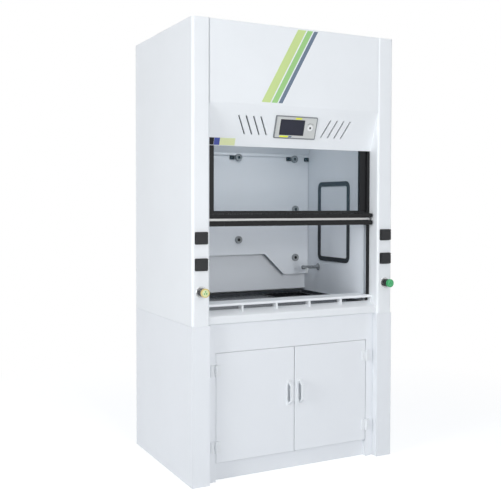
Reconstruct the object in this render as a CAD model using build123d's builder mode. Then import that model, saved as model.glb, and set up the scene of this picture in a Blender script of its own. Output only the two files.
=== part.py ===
from build123d import *
from math import hypot, radians, sin, tan
import os

os.makedirs("parts", exist_ok=True)

# Free-standing fume hood of white polypropylene sheet, in millimetres.
# X runs across the front, +Y goes back into the hood, Z is up from the floor.
# The origin is on the floor, under the middle of the box that holds the hood and its valve knobs.

# Casing
casing_width = 1250.0
casing_depth = 860.0
casing_height = 2400.0
base_height = 829.0
casing_sheet = 8.0
post_width = 100.0
post_outer_bend = 7.0
post_inner_bend = 4.0
seam_chamfer = 2.5
base_return = 44.0
base_lip_gap = 0.3

# Valve knobs on the posts set how far the hood reaches forward
knob_reach = 58.0
front = -(casing_depth - knob_reach) / 2
back = front + casing_depth
half_width = casing_width / 2
post_inner = half_width - post_width

# Fascia: an upright upper part, a bend and a slope down to the top of the opening
fascia_set_back = 4.0
fascia_upright = 422.0
fascia_drop = 218.0
fascia_bend_height = casing_height - fascia_upright
fascia_bottom_height = fascia_bend_height - fascia_drop
fascia_slope_run = 68.0
fascia_bend = 30.0

# Vent slots and control unit on the slope
slot_count = 4
slot_pitch = 43.7
slot_width = 8.0
slot_length = 112.0
slot_lean = 25.7
slot_group_x = 261.0
control_width = 260.0
control_height = 124.0
control_drop = 107.5
control_middle_height = fascia_bend_height - control_drop
control_rim = 6.0
control_thickness = 7.0
control_dish = 2.0
housing_width = 236.0
housing_height = 100.0
housing_depth = 34.0
cutout_gap = 1.0
screen_width = 146.0
screen_height = 80.0
screen_thickness = 2.0
screen_x = -23.0

# Sash tracks
track_inset = 80.0
track_depth = 38.0
track_flange = 6.0
track_web = 4.0
track_reach = 20.0
track_top_gap = 100.0
track_height = casing_height - track_top_gap

# Work chamber liner
liner_sheet = 6.0
chamber_side_gap = 15.0
chamber_half_width = post_inner - chamber_side_gap
ceiling_drop = 300.0
ceiling_height = casing_height - ceiling_drop

# Lamp
lamp_end_gap = 200.0
lamp_length = 2 * (chamber_half_width - lamp_end_gap)
lamp_width = 110.0
lamp_depth = 40.0
lamp_inset = 330.0
lamp_corner = 14.0
lamp_taper = 10.0

# Worktop
worktop_inset = 78.0
worktop_plate = 15.0
worktop_rise = 51.0
worktop_surface = base_height + worktop_rise
rim_height = 13.0
rim_width = 15.0
front_rim = 20.0
rim_corner = 20.0
rib_thickness = 8.0

# Baffles
main_baffle_back_gap = 123.0
main_baffle_inset = casing_depth - main_baffle_back_gap
main_baffle_rise = 123.0
main_baffle_bottom = worktop_surface + main_baffle_rise
deflector_step = 3.0
deflector_bottom = fascia_bottom_height - deflector_step
top_slot = 25.0
main_baffle_top = deflector_bottom - top_slot
baffle_side_gap = 2.0
notch_side_gap = 182.0
notch_slope = 138.0
notch_height = 134.0
notch_half_bottom = chamber_half_width - notch_side_gap
notch_half_top = notch_half_bottom - notch_slope
notch_top = main_baffle_bottom + notch_height
lower_baffle_step = 45.0
lower_baffle_inset = main_baffle_inset + lower_baffle_step
lower_baffle_lap = 177.0
lower_baffle_top = main_baffle_bottom + lower_baffle_lap
lower_slot = 12.0
deflector_flange = 16.0
damper_lap = 16.0
ceiling_slot = 36.0
deflector_top = ceiling_height - ceiling_slot
deflector_slope = 22.0 / 42.0
deflector_bend = 6.0
peg_radius = 18.0
peg_bore_radius = 4.2
peg_bore_depth = 30.0
baffle_knob_radius = 24.0
baffle_knob_length = 14.0
baffle_knob_chamfer = 3.0
shank_radius = 4.0
shank_hole_radius = 4.5
knob_side_gap = 100.0
knob_side_x = chamber_half_width - knob_side_gap
knob_top_step = 7.0
knob_top_x = knob_side_x - knob_top_step
knob_top_rise = 13.0
knob_top_height = main_baffle_top + knob_top_rise
knob_low_rise = 107.0
knob_low = main_baffle_bottom + knob_low_rise
knob_middle_rise = 229.0
knob_middle = main_baffle_bottom + knob_middle_rise
knob_high_offset = 54.5
knob_high = (main_baffle_bottom + main_baffle_top) / 2 + knob_high_offset
spacer_width = 28.0
spacer_depth = 14.0
spacer_offset = 43.0

# Access panels in the side walls
access_inset = 260.0
access_back_gap = 125.0
access_length = main_baffle_inset - access_back_gap - access_inset
access_rise = 218.0
access_bottom = worktop_surface + access_rise
access_top_gap = 166.0
access_height = fascia_bottom_height - access_top_gap - access_bottom
gasket_width = 28.0
gasket_web = 4.0
gasket_proud = 4.0
access_corner = 40.0
access_sheet = 4.0

# Sink, its trap and the service outlets
sink_side_gap = 205.0
sink_x = chamber_half_width - sink_side_gap
sink_back_gap = 84.5
sink_inset = main_baffle_inset - sink_back_gap
sink_width = 270.0
sink_depth = 185.0
sink_drop = 190.0
sink_wall = 4.0
sink_corner = 28.0
sink_flange = 10.0
sink_flange_thickness = 3.0
sink_gap = 1.0
waste_radius = 20.0
waste_flange_radius = 32.0
waste_flange_thickness = 2.0
waste_gap = 1.0
trap_radius = 34.0
trap_height = 110.0
trap_neck = 40.0
trap_outlet_length = 60.0
outlet_back_gap = 250.0
outlet_inset = casing_depth - outlet_back_gap
outlet_rise = 175.0
outlet_height = worktop_surface + outlet_rise
tap_reach = 123.0
tap_tube_radius = 10.0
tap_flange_radius = 22.0
tap_flange_thickness = 6.0
tap_bevel = 2.0
tap_cap_radius = 12.5
tap_cap_length = 14.0
tap_spout_gap = 85.0
tap_spout_x = chamber_half_width - tap_spout_gap
tap_spout_drop = 38.0
gas_reach = 55.0
nozzle_collar = 8.0
nozzle_radius = 5.0
nozzle_tip_radius = 4.0
barb_height = 1.2
barb_rise = 3.0
barb_length = 7.0
barb_step = 1.0
outlet_tail_radius = 8.0
outlet_tail_gap = 0.3
outlet_tail_length = 30.0

# Ribs under the worktop, clear of the sink
rib_front_inset = 90.0
rib_middle_inset = 320.0
rib_sink_gap = 124.5
rib_back_gap = 85.0
rib_insets = (rib_front_inset, rib_middle_inset, sink_inset - rib_sink_gap, casing_depth - rib_back_gap)

# Sill and airfoil below the opening
sill_sheet = 6.0
sill_foot_inset = 14.0
sill_foot_depth = 46.0
sill_knee_inset = 9.5
sill_knee_rise = 42.0
sill_knee_height = base_height + sill_knee_rise
sill_slope_angle = 21.6
sill_bend = 4.0
foil_inset = 50.0
foil_depth = 130.0
foil_thickness = 15.0
foil_rise = 52.0
foil_top = worktop_surface + foil_rise
foil_nose = 6.0
foil_tail = 12.0
foil_post_gap = 1.0
foil_track_gap = 1.0
foil_spacer = 10.0
foil_spacer_depth = 40.0
foil_slots = 5
foil_slot_margin = 5.0
foil_slot_pitch = 2 * (post_inner - foil_slot_margin) / foil_slots

# Sash
sash_drop = 9.0
sash_bottom = (foil_top + fascia_bottom_height) / 2 - sash_drop
sash_lap = 27.0
sash_height = fascia_bottom_height - foil_top + sash_lap
sash_thickness = 20.0
sash_side_gap = 12.0
sash_half_width = post_inner - sash_side_gap
stile_width = 50.0
top_rail = 40.0
glass_thickness = 6.0
glass_bite = 8.0
handle_height = 81.0
handle_front_inset = 38.0
handle_neck_gap = 22.0
handle_neck_half = post_inner - handle_neck_gap
handle_lip_gap = 10.0
handle_lip_half = post_inner - handle_lip_gap
lip_radius = 8.0
lower_lip_height = 26.0
upper_lip_bottom = 42.0
upper_lip_top = 66.0
groove_inset = 66.0
handle_track_gap = 2.0
strip_thickness = 2.0
strip_height = 12.0
glide_gap = 0.3
glide_height = 40.0
sash_clamp = 12.0
clamp_radius = 5.0

# Counterbalance
pulley_groove_radius = 28.4
cable_radius = 1.5
pulley_rim_radius = 33.0
pulley_width = 12.0
pulley_web = 6.0
pulley_hub_radius = 10.0
pulley_rim_inner = 24.0
pulley_mouth = 7.0
pulley_throat = 3.6
pulley_cable_gap = 0.1
pulley_drop = 50.0
pulley_height = casing_height - pulley_drop
pulley_lane = handle_neck_half
axle_radius = 4.0
axle_gap = 0.05
bracket_plate = 3.0
bracket_gap = 1.0
bracket_width = 30.0
bracket_drop = 12.0
return_notch_drop = 45.0
return_notch_bottom = pulley_height - return_notch_drop
return_notch_gap = 5.0
weight_side = 50.0
weight_length = 400.0
weight_drop = 500.0
weight_top = pulley_height - weight_drop
weight_edge = 4.0

# Base cabinet
cabinet_side_gap = 17.0
cabinet_half_width = post_inner - cabinet_side_gap
cabinet_sheet = 6.0
cabinet_inset = 38.0
cabinet_edge = 33.0
cabinet_return = 28.0
cabinet_floor_height = 95.0
cabinet_back_gap = 26.0
cabinet_back_inset = casing_depth - cabinet_back_gap
door_bottom = 97.0
apron_height = 154.0
door_top = base_height - apron_height
door_thickness = 20.0
door_wall = 4.0
door_gap = 3.0
door_side_gap = 2.0
door_edge_radius = 3.0
apron_gap = 2.0

# Door hinges
hinge_length = 62.0
hinge_low_rise = 87.0
hinge_high_drop = 90.0
hinge_heights = (door_bottom + hinge_low_rise, door_top - hinge_high_drop)
hinge_radius = 8.0
hinge_pin_radius = 2.0
hinge_pin_gap = 0.05
hinge_leaf = 28.0
hinge_leaf_thickness = 6.0
hinge_knuckle = 16.0
hinge_knuckle_gap = 0.5
hinge_side_gap = 1.0

# Door handles
handle_x = 34.0
handle_width = 16.0
handle_plate_width = 32.0
handle_plate_thickness = 3.0
handle_drop = 320.0
handle_bottom = door_top - handle_drop
handle_length = 138.0
handle_stand_off = 35.0
handle_slope = 26.0
handle_bar = 9.0
handle_fillet = 5.0
handle_edge_radius = 2.0
handle_plate_margin = 12.0
cup_width = 24.0
cup_depth = 12.0
cup_wall = 2.0
cup_margin = 21.0
cup_gap = 0.5

# Services on the posts
post_middle = half_width - post_width / 2
valve_rise = 176.0
valve_height = base_height + valve_rise
escutcheon_radius = 30.0
escutcheon_thickness = 5.0
escutcheon_bevel = 1.5
valve_neck_radius = 9.0
valve_neck_gap = 0.3
valve_body_radius = 20.0
valve_body_length = 52.0
valve_neck_reach = 11.0
valve_shoulder = 8.0
spindle_radius = 4.0
spindle_gap = 0.05
spindle_depth = 20.0
spindle_end_gap = 0.5
knob_clearance = 1.0
knob_radius = 22.0
knob_flute_radius = 4.0
knob_flutes = 8
cap_radius = 23.0
cap_thickness = 12.0
cap_dish = 2.5
cap_rim = 4.0
pipe_radius = 5.0
pipe_bend = 20.0
socket_low_rise = 140.0
socket_high_rise = 275.0
socket_heights = (valve_height + socket_low_rise, valve_height + socket_high_rise)
socket_width = 70.0
socket_height = 64.0
socket_corner = 6.0
socket_plate = 6.0
socket_box_width = 54.0
socket_box_height = 46.0
socket_box_depth = 45.0
socket_box_gap = 0.5
socket_well_radius = 19.0
socket_well_depth = 3.0
socket_pin_radius = 2.5
socket_pin_pitch = 19.0
socket_pin_depth = 12.0
lid_reach = 17.0
lid_margin = 3.0
lid_wall = 2.5
lid_gap = 0.3
lid_corner = 4.0
lid_shoulder_gap = 0.8
lid_pin_radius = 1.5
lid_pin_gap = 0.05
lug_width = 5.0
lug_inset = 2.5
lug_margin = 1.0
lug_gap = 0.4

# Exhaust collar
collar_radius = 125.0
collar_wall = 5.0
collar_back_gap = 155.0
collar_inset = casing_depth - collar_back_gap
collar_rise = 60.0
collar_flange = 20.0
collar_gap = 0.5


def front_plane(y):
    """Upright plane across the hood at y, seen from the front: local x is X, local y is Z."""
    return Plane.XZ.offset(-y)


def side_plane(x):
    """Upright plane along the hood at x: local x is Y, local y is Z."""
    return Plane.YZ.offset(x)


def floor_plane(z):
    """Level plane at height z: local x is X, local y is Y."""
    return Plane.XY.offset(z)


def back_run(points, thickness):
    """The far face of a sheet whose near face runs along points, to their right."""
    normals = []
    for start, end in zip(points, points[1:]):
        run = hypot(end[0] - start[0], end[1] - start[1])
        normals.append(((end[1] - start[1]) / run, (start[0] - end[0]) / run))
    far = []
    for index, point in enumerate(points):
        before = normals[max(index - 1, 0)]
        after = normals[min(index, len(normals) - 1)]
        share = thickness / (1 + before[0] * after[0] + before[1] * after[1])
        far.append((point[0] + share * (before[0] + after[0]), point[1] + share * (before[1] + after[1])))
    return far


def bent_sheet(plane, points, thickness, bends):
    """Section of a sheet bent along points; bends holds the inside radius of each corner."""
    far = back_run(points, thickness)
    with BuildSketch(plane) as section:
        with BuildLine():
            Polyline(*points, *reversed(far), close=True)
        make_face()
        for index, bend in enumerate(bends):
            before, corner, after = points[index : index + 3]
            turn = (corner[0] - before[0]) * (after[1] - corner[1])
            turn -= (corner[1] - before[1]) * (after[0] - corner[0])
            corners = [corner, far[index + 1]]
            outside, inside = corners if turn < 0 else reversed(corners)
            if bend > 0:
                fillet(section.vertices().sort_by_distance((*outside, 0))[0], bend + thickness)
                fillet(section.vertices().sort_by_distance((*inside, 0))[0], bend)
    return section.sketch


def outline(plane, points):
    """Face with straight sides through points."""
    with BuildSketch(plane) as section:
        with BuildLine():
            Polyline(*points, close=True)
        make_face()
    return section.sketch


def panel(plane, low, high, radius=0):
    """Rectangle between two corners, with round corners where radius is given."""
    middle = ((low[0] + high[0]) / 2, (low[1] + high[1]) / 2)
    width = high[0] - low[0]
    height = high[1] - low[1]
    with BuildSketch(plane) as section:
        with Locations(middle):
            if radius > 0:
                RectangleRounded(width, height, radius)
            else:
                Rectangle(width, height)
    return section.sketch


def disc(plane, middle, radius, bore=0):
    """Round face, or a ring where bore is given."""
    with BuildSketch(plane) as section:
        with Locations(middle):
            Circle(radius)
            if bore > 0:
                Circle(bore, mode=Mode.SUBTRACT)
    return section.sketch


def finish(piece, label):
    """Name a finished sub-part and write it."""
    piece.part.label = label
    export_step(piece.part, f"parts/{label}.step")


# Upper sides: side wall, round post and inner return are one bent sheet.
# The return is cut away at the top, where the sash pulley turns and the roof lies.
track_back = front + track_inset + track_depth
roof_bottom = casing_height - casing_sheet
with BuildPart() as upper_side_right:
    extrude(
        bent_sheet(
            floor_plane(base_height),
            [(half_width, back), (half_width, front), (post_inner, front), (post_inner, track_back)],
            casing_sheet,
            [post_outer_bend, post_inner_bend],
        ),
        amount=casing_height - base_height,
    )
    extrude(
        panel(
            floor_plane(return_notch_bottom),
            (post_inner, front + track_inset + return_notch_gap),
            (post_inner + casing_sheet, track_back),
        ),
        amount=casing_height - return_notch_bottom,
        mode=Mode.SUBTRACT,
    )
    extrude(
        panel(
            floor_plane(roof_bottom),
            (post_inner, front + casing_sheet + fascia_set_back),
            (post_inner + casing_sheet, track_back),
        ),
        amount=casing_sheet,
        mode=Mode.SUBTRACT,
    )
    # Openings for the valve neck and the two socket boxes
    with BuildSketch(front_plane(front)):
        with Locations((post_middle, valve_height)):
            Circle(valve_neck_radius + valve_neck_gap)
        with Locations(*[(post_middle, height) for height in socket_heights]):
            Rectangle(socket_box_width + 2 * socket_box_gap, socket_box_height + 2 * socket_box_gap)
    extrude(amount=-casing_sheet, mode=Mode.SUBTRACT)
finish(upper_side_right, "upper_side_right")

with BuildPart() as upper_side_left:
    mirror(upper_side_right.part, about=Plane.YZ)
finish(upper_side_left, "upper_side_left")

# Base sides: side wall, square post, return and the lip that closes the joint to the cabinet
with BuildPart() as base_side_right:
    extrude(
        bent_sheet(
            floor_plane(0),
            [
                (half_width, back),
                (half_width, front),
                (post_inner, front),
                (post_inner, front + base_return),
                (cabinet_half_width + base_lip_gap, front + base_return),
            ],
            casing_sheet,
            [0, 0, 0],
        ),
        amount=base_height,
    )
    top_edges = base_side_right.faces().sort_by(Axis.Z)[-1].edges()
    chamfer([top_edges.sort_by(Axis.Y)[0], top_edges.sort_by(Axis.X)[-1]], seam_chamfer)
finish(base_side_right, "base_side_right")

with BuildPart() as base_side_left:
    mirror(base_side_right.part, about=Plane.YZ)
finish(base_side_left, "base_side_left")

# Back panels and roof lie between the side walls
inner_half = half_width - casing_sheet
with BuildPart() as back_panel_lower:
    extrude(panel(front_plane(back), (-inner_half, 0), (inner_half, base_height)), amount=casing_sheet)
finish(back_panel_lower, "back_panel_lower")

with BuildPart() as back_panel_upper:
    extrude(
        panel(front_plane(back), (-inner_half, base_height), (inner_half, casing_height)),
        amount=casing_sheet,
    )
finish(back_panel_upper, "back_panel_upper")

fascia_back = front + fascia_set_back + casing_sheet
collar_y = front + collar_inset
with BuildPart() as roof_panel:
    roof_step = post_inner + casing_sheet + post_inner_bend
    post_back = front + casing_sheet
    with BuildSketch(floor_plane(roof_bottom)) as roof_outline:
        with BuildLine():
            Polyline(
                (-inner_half, back - casing_sheet),
                (-inner_half, post_back),
                (-roof_step, post_back),
                (-roof_step, fascia_back),
                (roof_step, fascia_back),
                (roof_step, post_back),
                (inner_half, post_back),
                (inner_half, back - casing_sheet),
                close=True,
            )
        make_face()
        corners = roof_outline.vertices().group_by(Axis.Y)[0]
        fillet([corners.sort_by(Axis.X)[0], corners.sort_by(Axis.X)[-1]], post_outer_bend)
    extrude(amount=casing_sheet)
    extrude(
        disc(floor_plane(roof_bottom), (0, collar_y), collar_radius + collar_gap),
        amount=casing_sheet,
        mode=Mode.SUBTRACT,
    )
finish(roof_panel, "roof_panel")

# Fascia: one bent sheet between the posts
fascia_front = front + fascia_set_back
slope_rise = fascia_bend_height - fascia_bottom_height
slope_face = hypot(fascia_slope_run, slope_rise)
slope_normal = Vector(0, -slope_rise / slope_face, -fascia_slope_run / slope_face)
control_share = (fascia_bend_height - control_middle_height) / slope_rise
control_origin = Vector(0, fascia_front + control_share * fascia_slope_run, control_middle_height)
slope_plane = Plane(origin=control_origin, x_dir=(1, 0, 0), z_dir=slope_normal)

with BuildPart() as fascia:
    extrude(
        bent_sheet(
            side_plane(-post_inner),
            [
                (fascia_front + fascia_slope_run, fascia_bottom_height),
                (fascia_front, fascia_bend_height),
                (fascia_front, casing_height),
            ],
            casing_sheet,
            [fascia_bend],
        ),
        amount=2 * post_inner,
    )
    with BuildSketch(slope_plane):
        Rectangle(housing_width + 2 * cutout_gap, housing_height + 2 * cutout_gap)
        for group in (-1, 1):
            with Locations((group * slot_group_x, 0)):
                with GridLocations(slot_pitch, 1, slot_count, 1):
                    SlotOverall(slot_length, slot_width, rotation=90 - group * slot_lean)
    extrude(amount=-2 * casing_sheet, mode=Mode.SUBTRACT)
finish(fascia, "fascia")

# Control unit: rimmed bezel on the slope with its housing behind, and the screen let into it
with BuildPart() as control_unit:
    with BuildSketch(slope_plane):
        RectangleRounded(control_width, control_height, control_rim)
    extrude(amount=control_thickness)
    with BuildSketch(slope_plane.offset(control_thickness - control_dish)):
        RectangleRounded(control_width - 2 * control_rim, control_height - 2 * control_rim, control_rim / 2)
    extrude(amount=control_dish, mode=Mode.SUBTRACT)
    with BuildSketch(slope_plane):
        Rectangle(housing_width, housing_height)
    extrude(amount=-housing_depth)
    with BuildSketch(slope_plane.offset(control_thickness - control_dish - screen_thickness)):
        with Locations((screen_x, 0)):
            Rectangle(screen_width, screen_height)
    extrude(amount=screen_thickness, mode=Mode.SUBTRACT)
finish(control_unit, "control_unit")

with BuildPart() as display_screen:
    with BuildSketch(slope_plane.offset(control_thickness - control_dish - screen_thickness)):
        with Locations((screen_x, 0)):
            Rectangle(screen_width, screen_height)
    extrude(amount=screen_thickness)
finish(display_screen, "display_screen")

# Liner of the work chamber
rim_top = worktop_surface + rim_height
liner_front = front + track_inset + track_depth
liner_back = back - casing_sheet
liner_face = liner_back - liner_sheet
access_front = front + access_inset
access_back = access_front + access_length
access_top = access_bottom + access_height
seat = (gasket_width - gasket_web) / 2
outlet_y = front + outlet_inset
with BuildPart() as chamber_walls:
    extrude(
        panel(side_plane(chamber_half_width), (liner_front, rim_top), (liner_back, ceiling_height)),
        amount=liner_sheet,
    )
    extrude(
        panel(
            side_plane(chamber_half_width),
            (access_front + seat, access_bottom + seat),
            (access_back - seat, access_top - seat),
            access_corner - seat,
        ),
        amount=liner_sheet,
        mode=Mode.SUBTRACT,
    )
    extrude(
        disc(side_plane(chamber_half_width), (outlet_y, outlet_height), outlet_tail_radius + outlet_tail_gap),
        amount=liner_sheet,
        mode=Mode.SUBTRACT,
    )
    mirror(about=Plane.YZ)
finish(chamber_walls, "chamber_walls")

baffle_face = front + main_baffle_inset
baffle_back = baffle_face + liner_sheet
side_knobs = [
    (side * knob_side_x, height) for side in (-1, 1) for height in (knob_low, knob_high)
]
plate_knobs = side_knobs + [(0, knob_middle)]
slot_knobs = [(x, knob_top_height) for x in (-knob_top_x, 0, knob_top_x)]
all_knobs = plate_knobs + slot_knobs

# Rear liner with the welded pegs that carry the baffles
with BuildPart() as rear_liner:
    extrude(
        panel(
            front_plane(liner_back), (-chamber_half_width, rim_top), (chamber_half_width, ceiling_height)
        ),
        amount=liner_sheet,
    )
    with BuildSketch(front_plane(liner_face)):
        with Locations(*all_knobs):
            Circle(peg_radius)
    extrude(amount=liner_face - baffle_back)
    with BuildSketch(front_plane(baffle_back)):
        with Locations(*all_knobs):
            Circle(peg_bore_radius)
    extrude(amount=-peg_bore_depth, mode=Mode.SUBTRACT)
finish(rear_liner, "rear_liner")

with BuildPart() as chamber_ceiling:
    extrude(
        panel(
            floor_plane(ceiling_height),
            (-chamber_half_width - liner_sheet, liner_front),
            (chamber_half_width + liner_sheet, liner_back),
        ),
        amount=liner_sheet,
    )
    extrude(
        disc(floor_plane(ceiling_height), (0, collar_y), collar_radius + collar_gap),
        amount=liner_sheet,
        mode=Mode.SUBTRACT,
    )
finish(chamber_ceiling, "chamber_ceiling")

# Lamp: a shallow tray under the ceiling
with BuildPart() as chamber_lamp:
    with BuildSketch(floor_plane(ceiling_height)):
        with Locations((0, front + lamp_inset)):
            RectangleRounded(lamp_length, lamp_width, lamp_corner)
    extrude(amount=-lamp_depth, taper=lamp_taper)
finish(chamber_lamp, "chamber_lamp")

# Exhaust collar: a tube from the chamber ceiling through the roof, hung by its flange on the roof
collar_top = casing_height + collar_rise
with BuildPart() as exhaust_collar:
    extrude(
        disc(floor_plane(ceiling_height), (0, collar_y), collar_radius, collar_radius - collar_wall),
        amount=collar_top - ceiling_height,
    )
    extrude(
        disc(
            floor_plane(casing_height),
            (0, collar_y),
            collar_radius + collar_flange,
            collar_radius - collar_wall,
        ),
        amount=collar_wall,
    )
    inner_rim = exhaust_collar.edges().filter_by(GeomType.CIRCLE).group_by(Axis.Z)[-1]
    chamfer(inner_rim, collar_wall / 4)
finish(exhaust_collar, "exhaust_collar")

# Main baffle with its notch
with BuildPart() as main_baffle:
    half = chamber_half_width - baffle_side_gap
    extrude(
        outline(
            front_plane(baffle_back),
            [
                (-half, main_baffle_bottom),
                (-notch_half_bottom, main_baffle_bottom),
                (-notch_half_top, notch_top),
                (notch_half_top, notch_top),
                (notch_half_bottom, main_baffle_bottom),
                (half, main_baffle_bottom),
                (half, main_baffle_top),
                (-half, main_baffle_top),
            ],
        ),
        amount=liner_sheet,
    )
    with BuildSketch(front_plane(baffle_face)):
        with Locations(*plate_knobs):
            Circle(shank_hole_radius)
    extrude(amount=-liner_sheet, mode=Mode.SUBTRACT)
finish(main_baffle, "main_baffle")

# Lower baffle stands further back and lets the low pegs through
lower_face = front + lower_baffle_inset
with BuildPart() as lower_baffle:
    extrude(
        panel(
            front_plane(lower_face + liner_sheet),
            (-chamber_half_width, rim_top + lower_slot),
            (chamber_half_width, lower_baffle_top),
        ),
        amount=liner_sheet,
    )
    with BuildSketch(front_plane(lower_face)):
        with Locations(*[(x, height) for x, height in plate_knobs if height < lower_baffle_top]):
            Circle(peg_radius + cutout_gap)
    extrude(amount=-liner_sheet, mode=Mode.SUBTRACT)
finish(lower_baffle, "lower_baffle")

# Deflector: a flange on the pegs, then a slope forward to the ceiling slot, with a damper plate
# on its back that closes the slot above the main baffle
deflector_start = deflector_bottom + deflector_flange
deflector_run = (deflector_top - deflector_start) * deflector_slope
with BuildPart() as top_deflector:
    extrude(
        bent_sheet(
            side_plane(-chamber_half_width),
            [
                (baffle_face, deflector_bottom),
                (baffle_face, deflector_start),
                (baffle_face - deflector_run, deflector_top),
            ],
            liner_sheet,
            [deflector_bend],
        ),
        amount=2 * chamber_half_width,
    )
    extrude(
        panel(
            front_plane(baffle_back + liner_sheet),
            (-chamber_half_width, main_baffle_top - damper_lap),
            (chamber_half_width, deflector_start),
        ),
        amount=liner_sheet,
    )
    with BuildSketch(front_plane(baffle_back)):
        with Locations(*slot_knobs):
            Circle(peg_radius + cutout_gap)
    extrude(amount=-liner_sheet, mode=Mode.SUBTRACT)
finish(top_deflector, "top_deflector")

# Round knobs whose shanks screw into the pegs
with BuildPart() as baffle_knobs:
    with BuildSketch(front_plane(baffle_face)):
        with Locations(*all_knobs):
            Circle(baffle_knob_radius)
    extrude(amount=baffle_knob_length)
    chamfer(
        baffle_knobs.edges().filter_by(GeomType.CIRCLE).group_by(Axis.Y)[0],
        baffle_knob_chamfer,
    )
    with BuildSketch(front_plane(baffle_face)):
        with Locations(*all_knobs):
            Circle(shank_radius)
    extrude(amount=-(liner_sheet + peg_bore_depth - cutout_gap))
finish(baffle_knobs, "baffle_knobs")

# Black blocks that keep the slot open, beside each top knob and at the right end
block_middles = [x - spacer_offset for x, height in slot_knobs]
block_middles.append(chamber_half_width - baffle_side_gap - spacer_width / 2)
with BuildPart() as slot_spacers:
    for middle in block_middles:
        extrude(
            panel(
                front_plane(baffle_back),
                (middle - spacer_width / 2, main_baffle_top),
                (middle + spacer_width / 2, deflector_bottom),
            ),
            amount=spacer_depth,
        )
finish(slot_spacers, "slot_spacers")

# Access panels: a black H-section gasket holds the sheet in the wall's window
wall_middle = chamber_half_width + liner_sheet / 2
gasket_inner = chamber_half_width - gasket_proud
gasket_outer = chamber_half_width + liner_sheet + gasket_proud
with BuildPart() as access_gaskets:
    ring_low = (access_front, access_bottom)
    ring_high = (access_back, access_top)
    window_low = (access_front + gasket_width, access_bottom + gasket_width)
    window_high = (access_back - gasket_width, access_top - gasket_width)
    wall_low = (access_front + seat, access_bottom + seat)
    wall_high = (access_back - seat, access_top - seat)
    pane_low = (wall_low[0] + gasket_web, wall_low[1] + gasket_web)
    pane_high = (wall_high[0] - gasket_web, wall_high[1] - gasket_web)
    extrude(
        panel(side_plane(gasket_inner), ring_low, ring_high, access_corner),
        amount=gasket_outer - gasket_inner,
    )
    extrude(
        panel(side_plane(gasket_inner), window_low, window_high, access_corner - gasket_width),
        amount=gasket_outer - gasket_inner,
        mode=Mode.SUBTRACT,
    )
    wall_groove = extrude(
        panel(side_plane(chamber_half_width), ring_low, ring_high, access_corner),
        amount=liner_sheet,
        mode=Mode.PRIVATE,
    ) - extrude(
        panel(side_plane(chamber_half_width), wall_low, wall_high, access_corner - seat),
        amount=liner_sheet,
        mode=Mode.PRIVATE,
    )
    add(wall_groove, mode=Mode.SUBTRACT)
    extrude(
        panel(
            side_plane(wall_middle - access_sheet / 2),
            pane_low,
            pane_high,
            access_corner - seat - gasket_web,
        ),
        amount=access_sheet,
        mode=Mode.SUBTRACT,
    )
    mirror(about=Plane.YZ)
finish(access_gaskets, "access_gaskets")

with BuildPart() as access_panels:
    extrude(
        panel(
            side_plane(wall_middle - access_sheet / 2),
            pane_low,
            pane_high,
            access_corner - seat - gasket_web,
        ),
        amount=access_sheet,
    )
    mirror(about=Plane.YZ)
finish(access_panels, "access_panels")

# Worktop: plate with a raised rim, a land behind the lower baffle and ribs down to the cabinet
worktop_half = chamber_half_width + liner_sheet
worktop_front = front + worktop_inset
plate_bottom = worktop_surface - worktop_plate
sink_y = front + sink_inset
with BuildPart() as worktop:
    extrude(
        panel(
            floor_plane(plate_bottom), (-worktop_half, worktop_front), (worktop_half, liner_back)
        ),
        amount=worktop_plate + rim_height,
    )
    extrude(
        panel(
            floor_plane(worktop_surface),
            (-chamber_half_width + rim_width, worktop_front + front_rim),
            (chamber_half_width - rim_width, lower_face),
            rim_corner,
        ),
        amount=rim_height,
        mode=Mode.SUBTRACT,
    )
    with BuildSketch(floor_plane(plate_bottom)):
        with Locations((sink_x, sink_y)):
            RectangleRounded(sink_width + 2 * sink_gap, sink_depth + 2 * sink_gap, sink_corner + sink_gap)
    extrude(amount=worktop_plate, mode=Mode.SUBTRACT)
    for inset in rib_insets:
        extrude(
            panel(
                floor_plane(base_height),
                (-cabinet_half_width, front + inset),
                (cabinet_half_width, front + inset + rib_thickness),
            ),
            amount=plate_bottom - base_height,
        )
finish(worktop, "worktop")

# Sink: a bowl hung by its flange, with the waste hole in its floor
sink_top = worktop_surface + sink_flange_thickness
sink_bottom = worktop_surface - sink_drop
with BuildPart() as sink_bowl:
    with BuildSketch(floor_plane(sink_bottom)):
        with Locations((sink_x, sink_y)):
            RectangleRounded(sink_width, sink_depth, sink_corner)
    extrude(amount=sink_top - sink_bottom)
    with BuildSketch(floor_plane(worktop_surface)):
        with Locations((sink_x, sink_y)):
            RectangleRounded(
                sink_width + 2 * sink_flange, sink_depth + 2 * sink_flange, sink_corner + sink_flange
            )
    extrude(amount=sink_flange_thickness)
    with BuildSketch(floor_plane(sink_bottom + sink_wall)):
        with Locations((sink_x, sink_y)):
            RectangleRounded(
                sink_width - 2 * sink_wall, sink_depth - 2 * sink_wall, sink_corner - sink_wall
            )
    extrude(amount=sink_drop + sink_flange_thickness, mode=Mode.SUBTRACT)
    with Locations((sink_x, sink_y, sink_bottom)):
        Hole(waste_radius, sink_wall * 2)
finish(sink_bowl, "sink_bowl")

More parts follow.
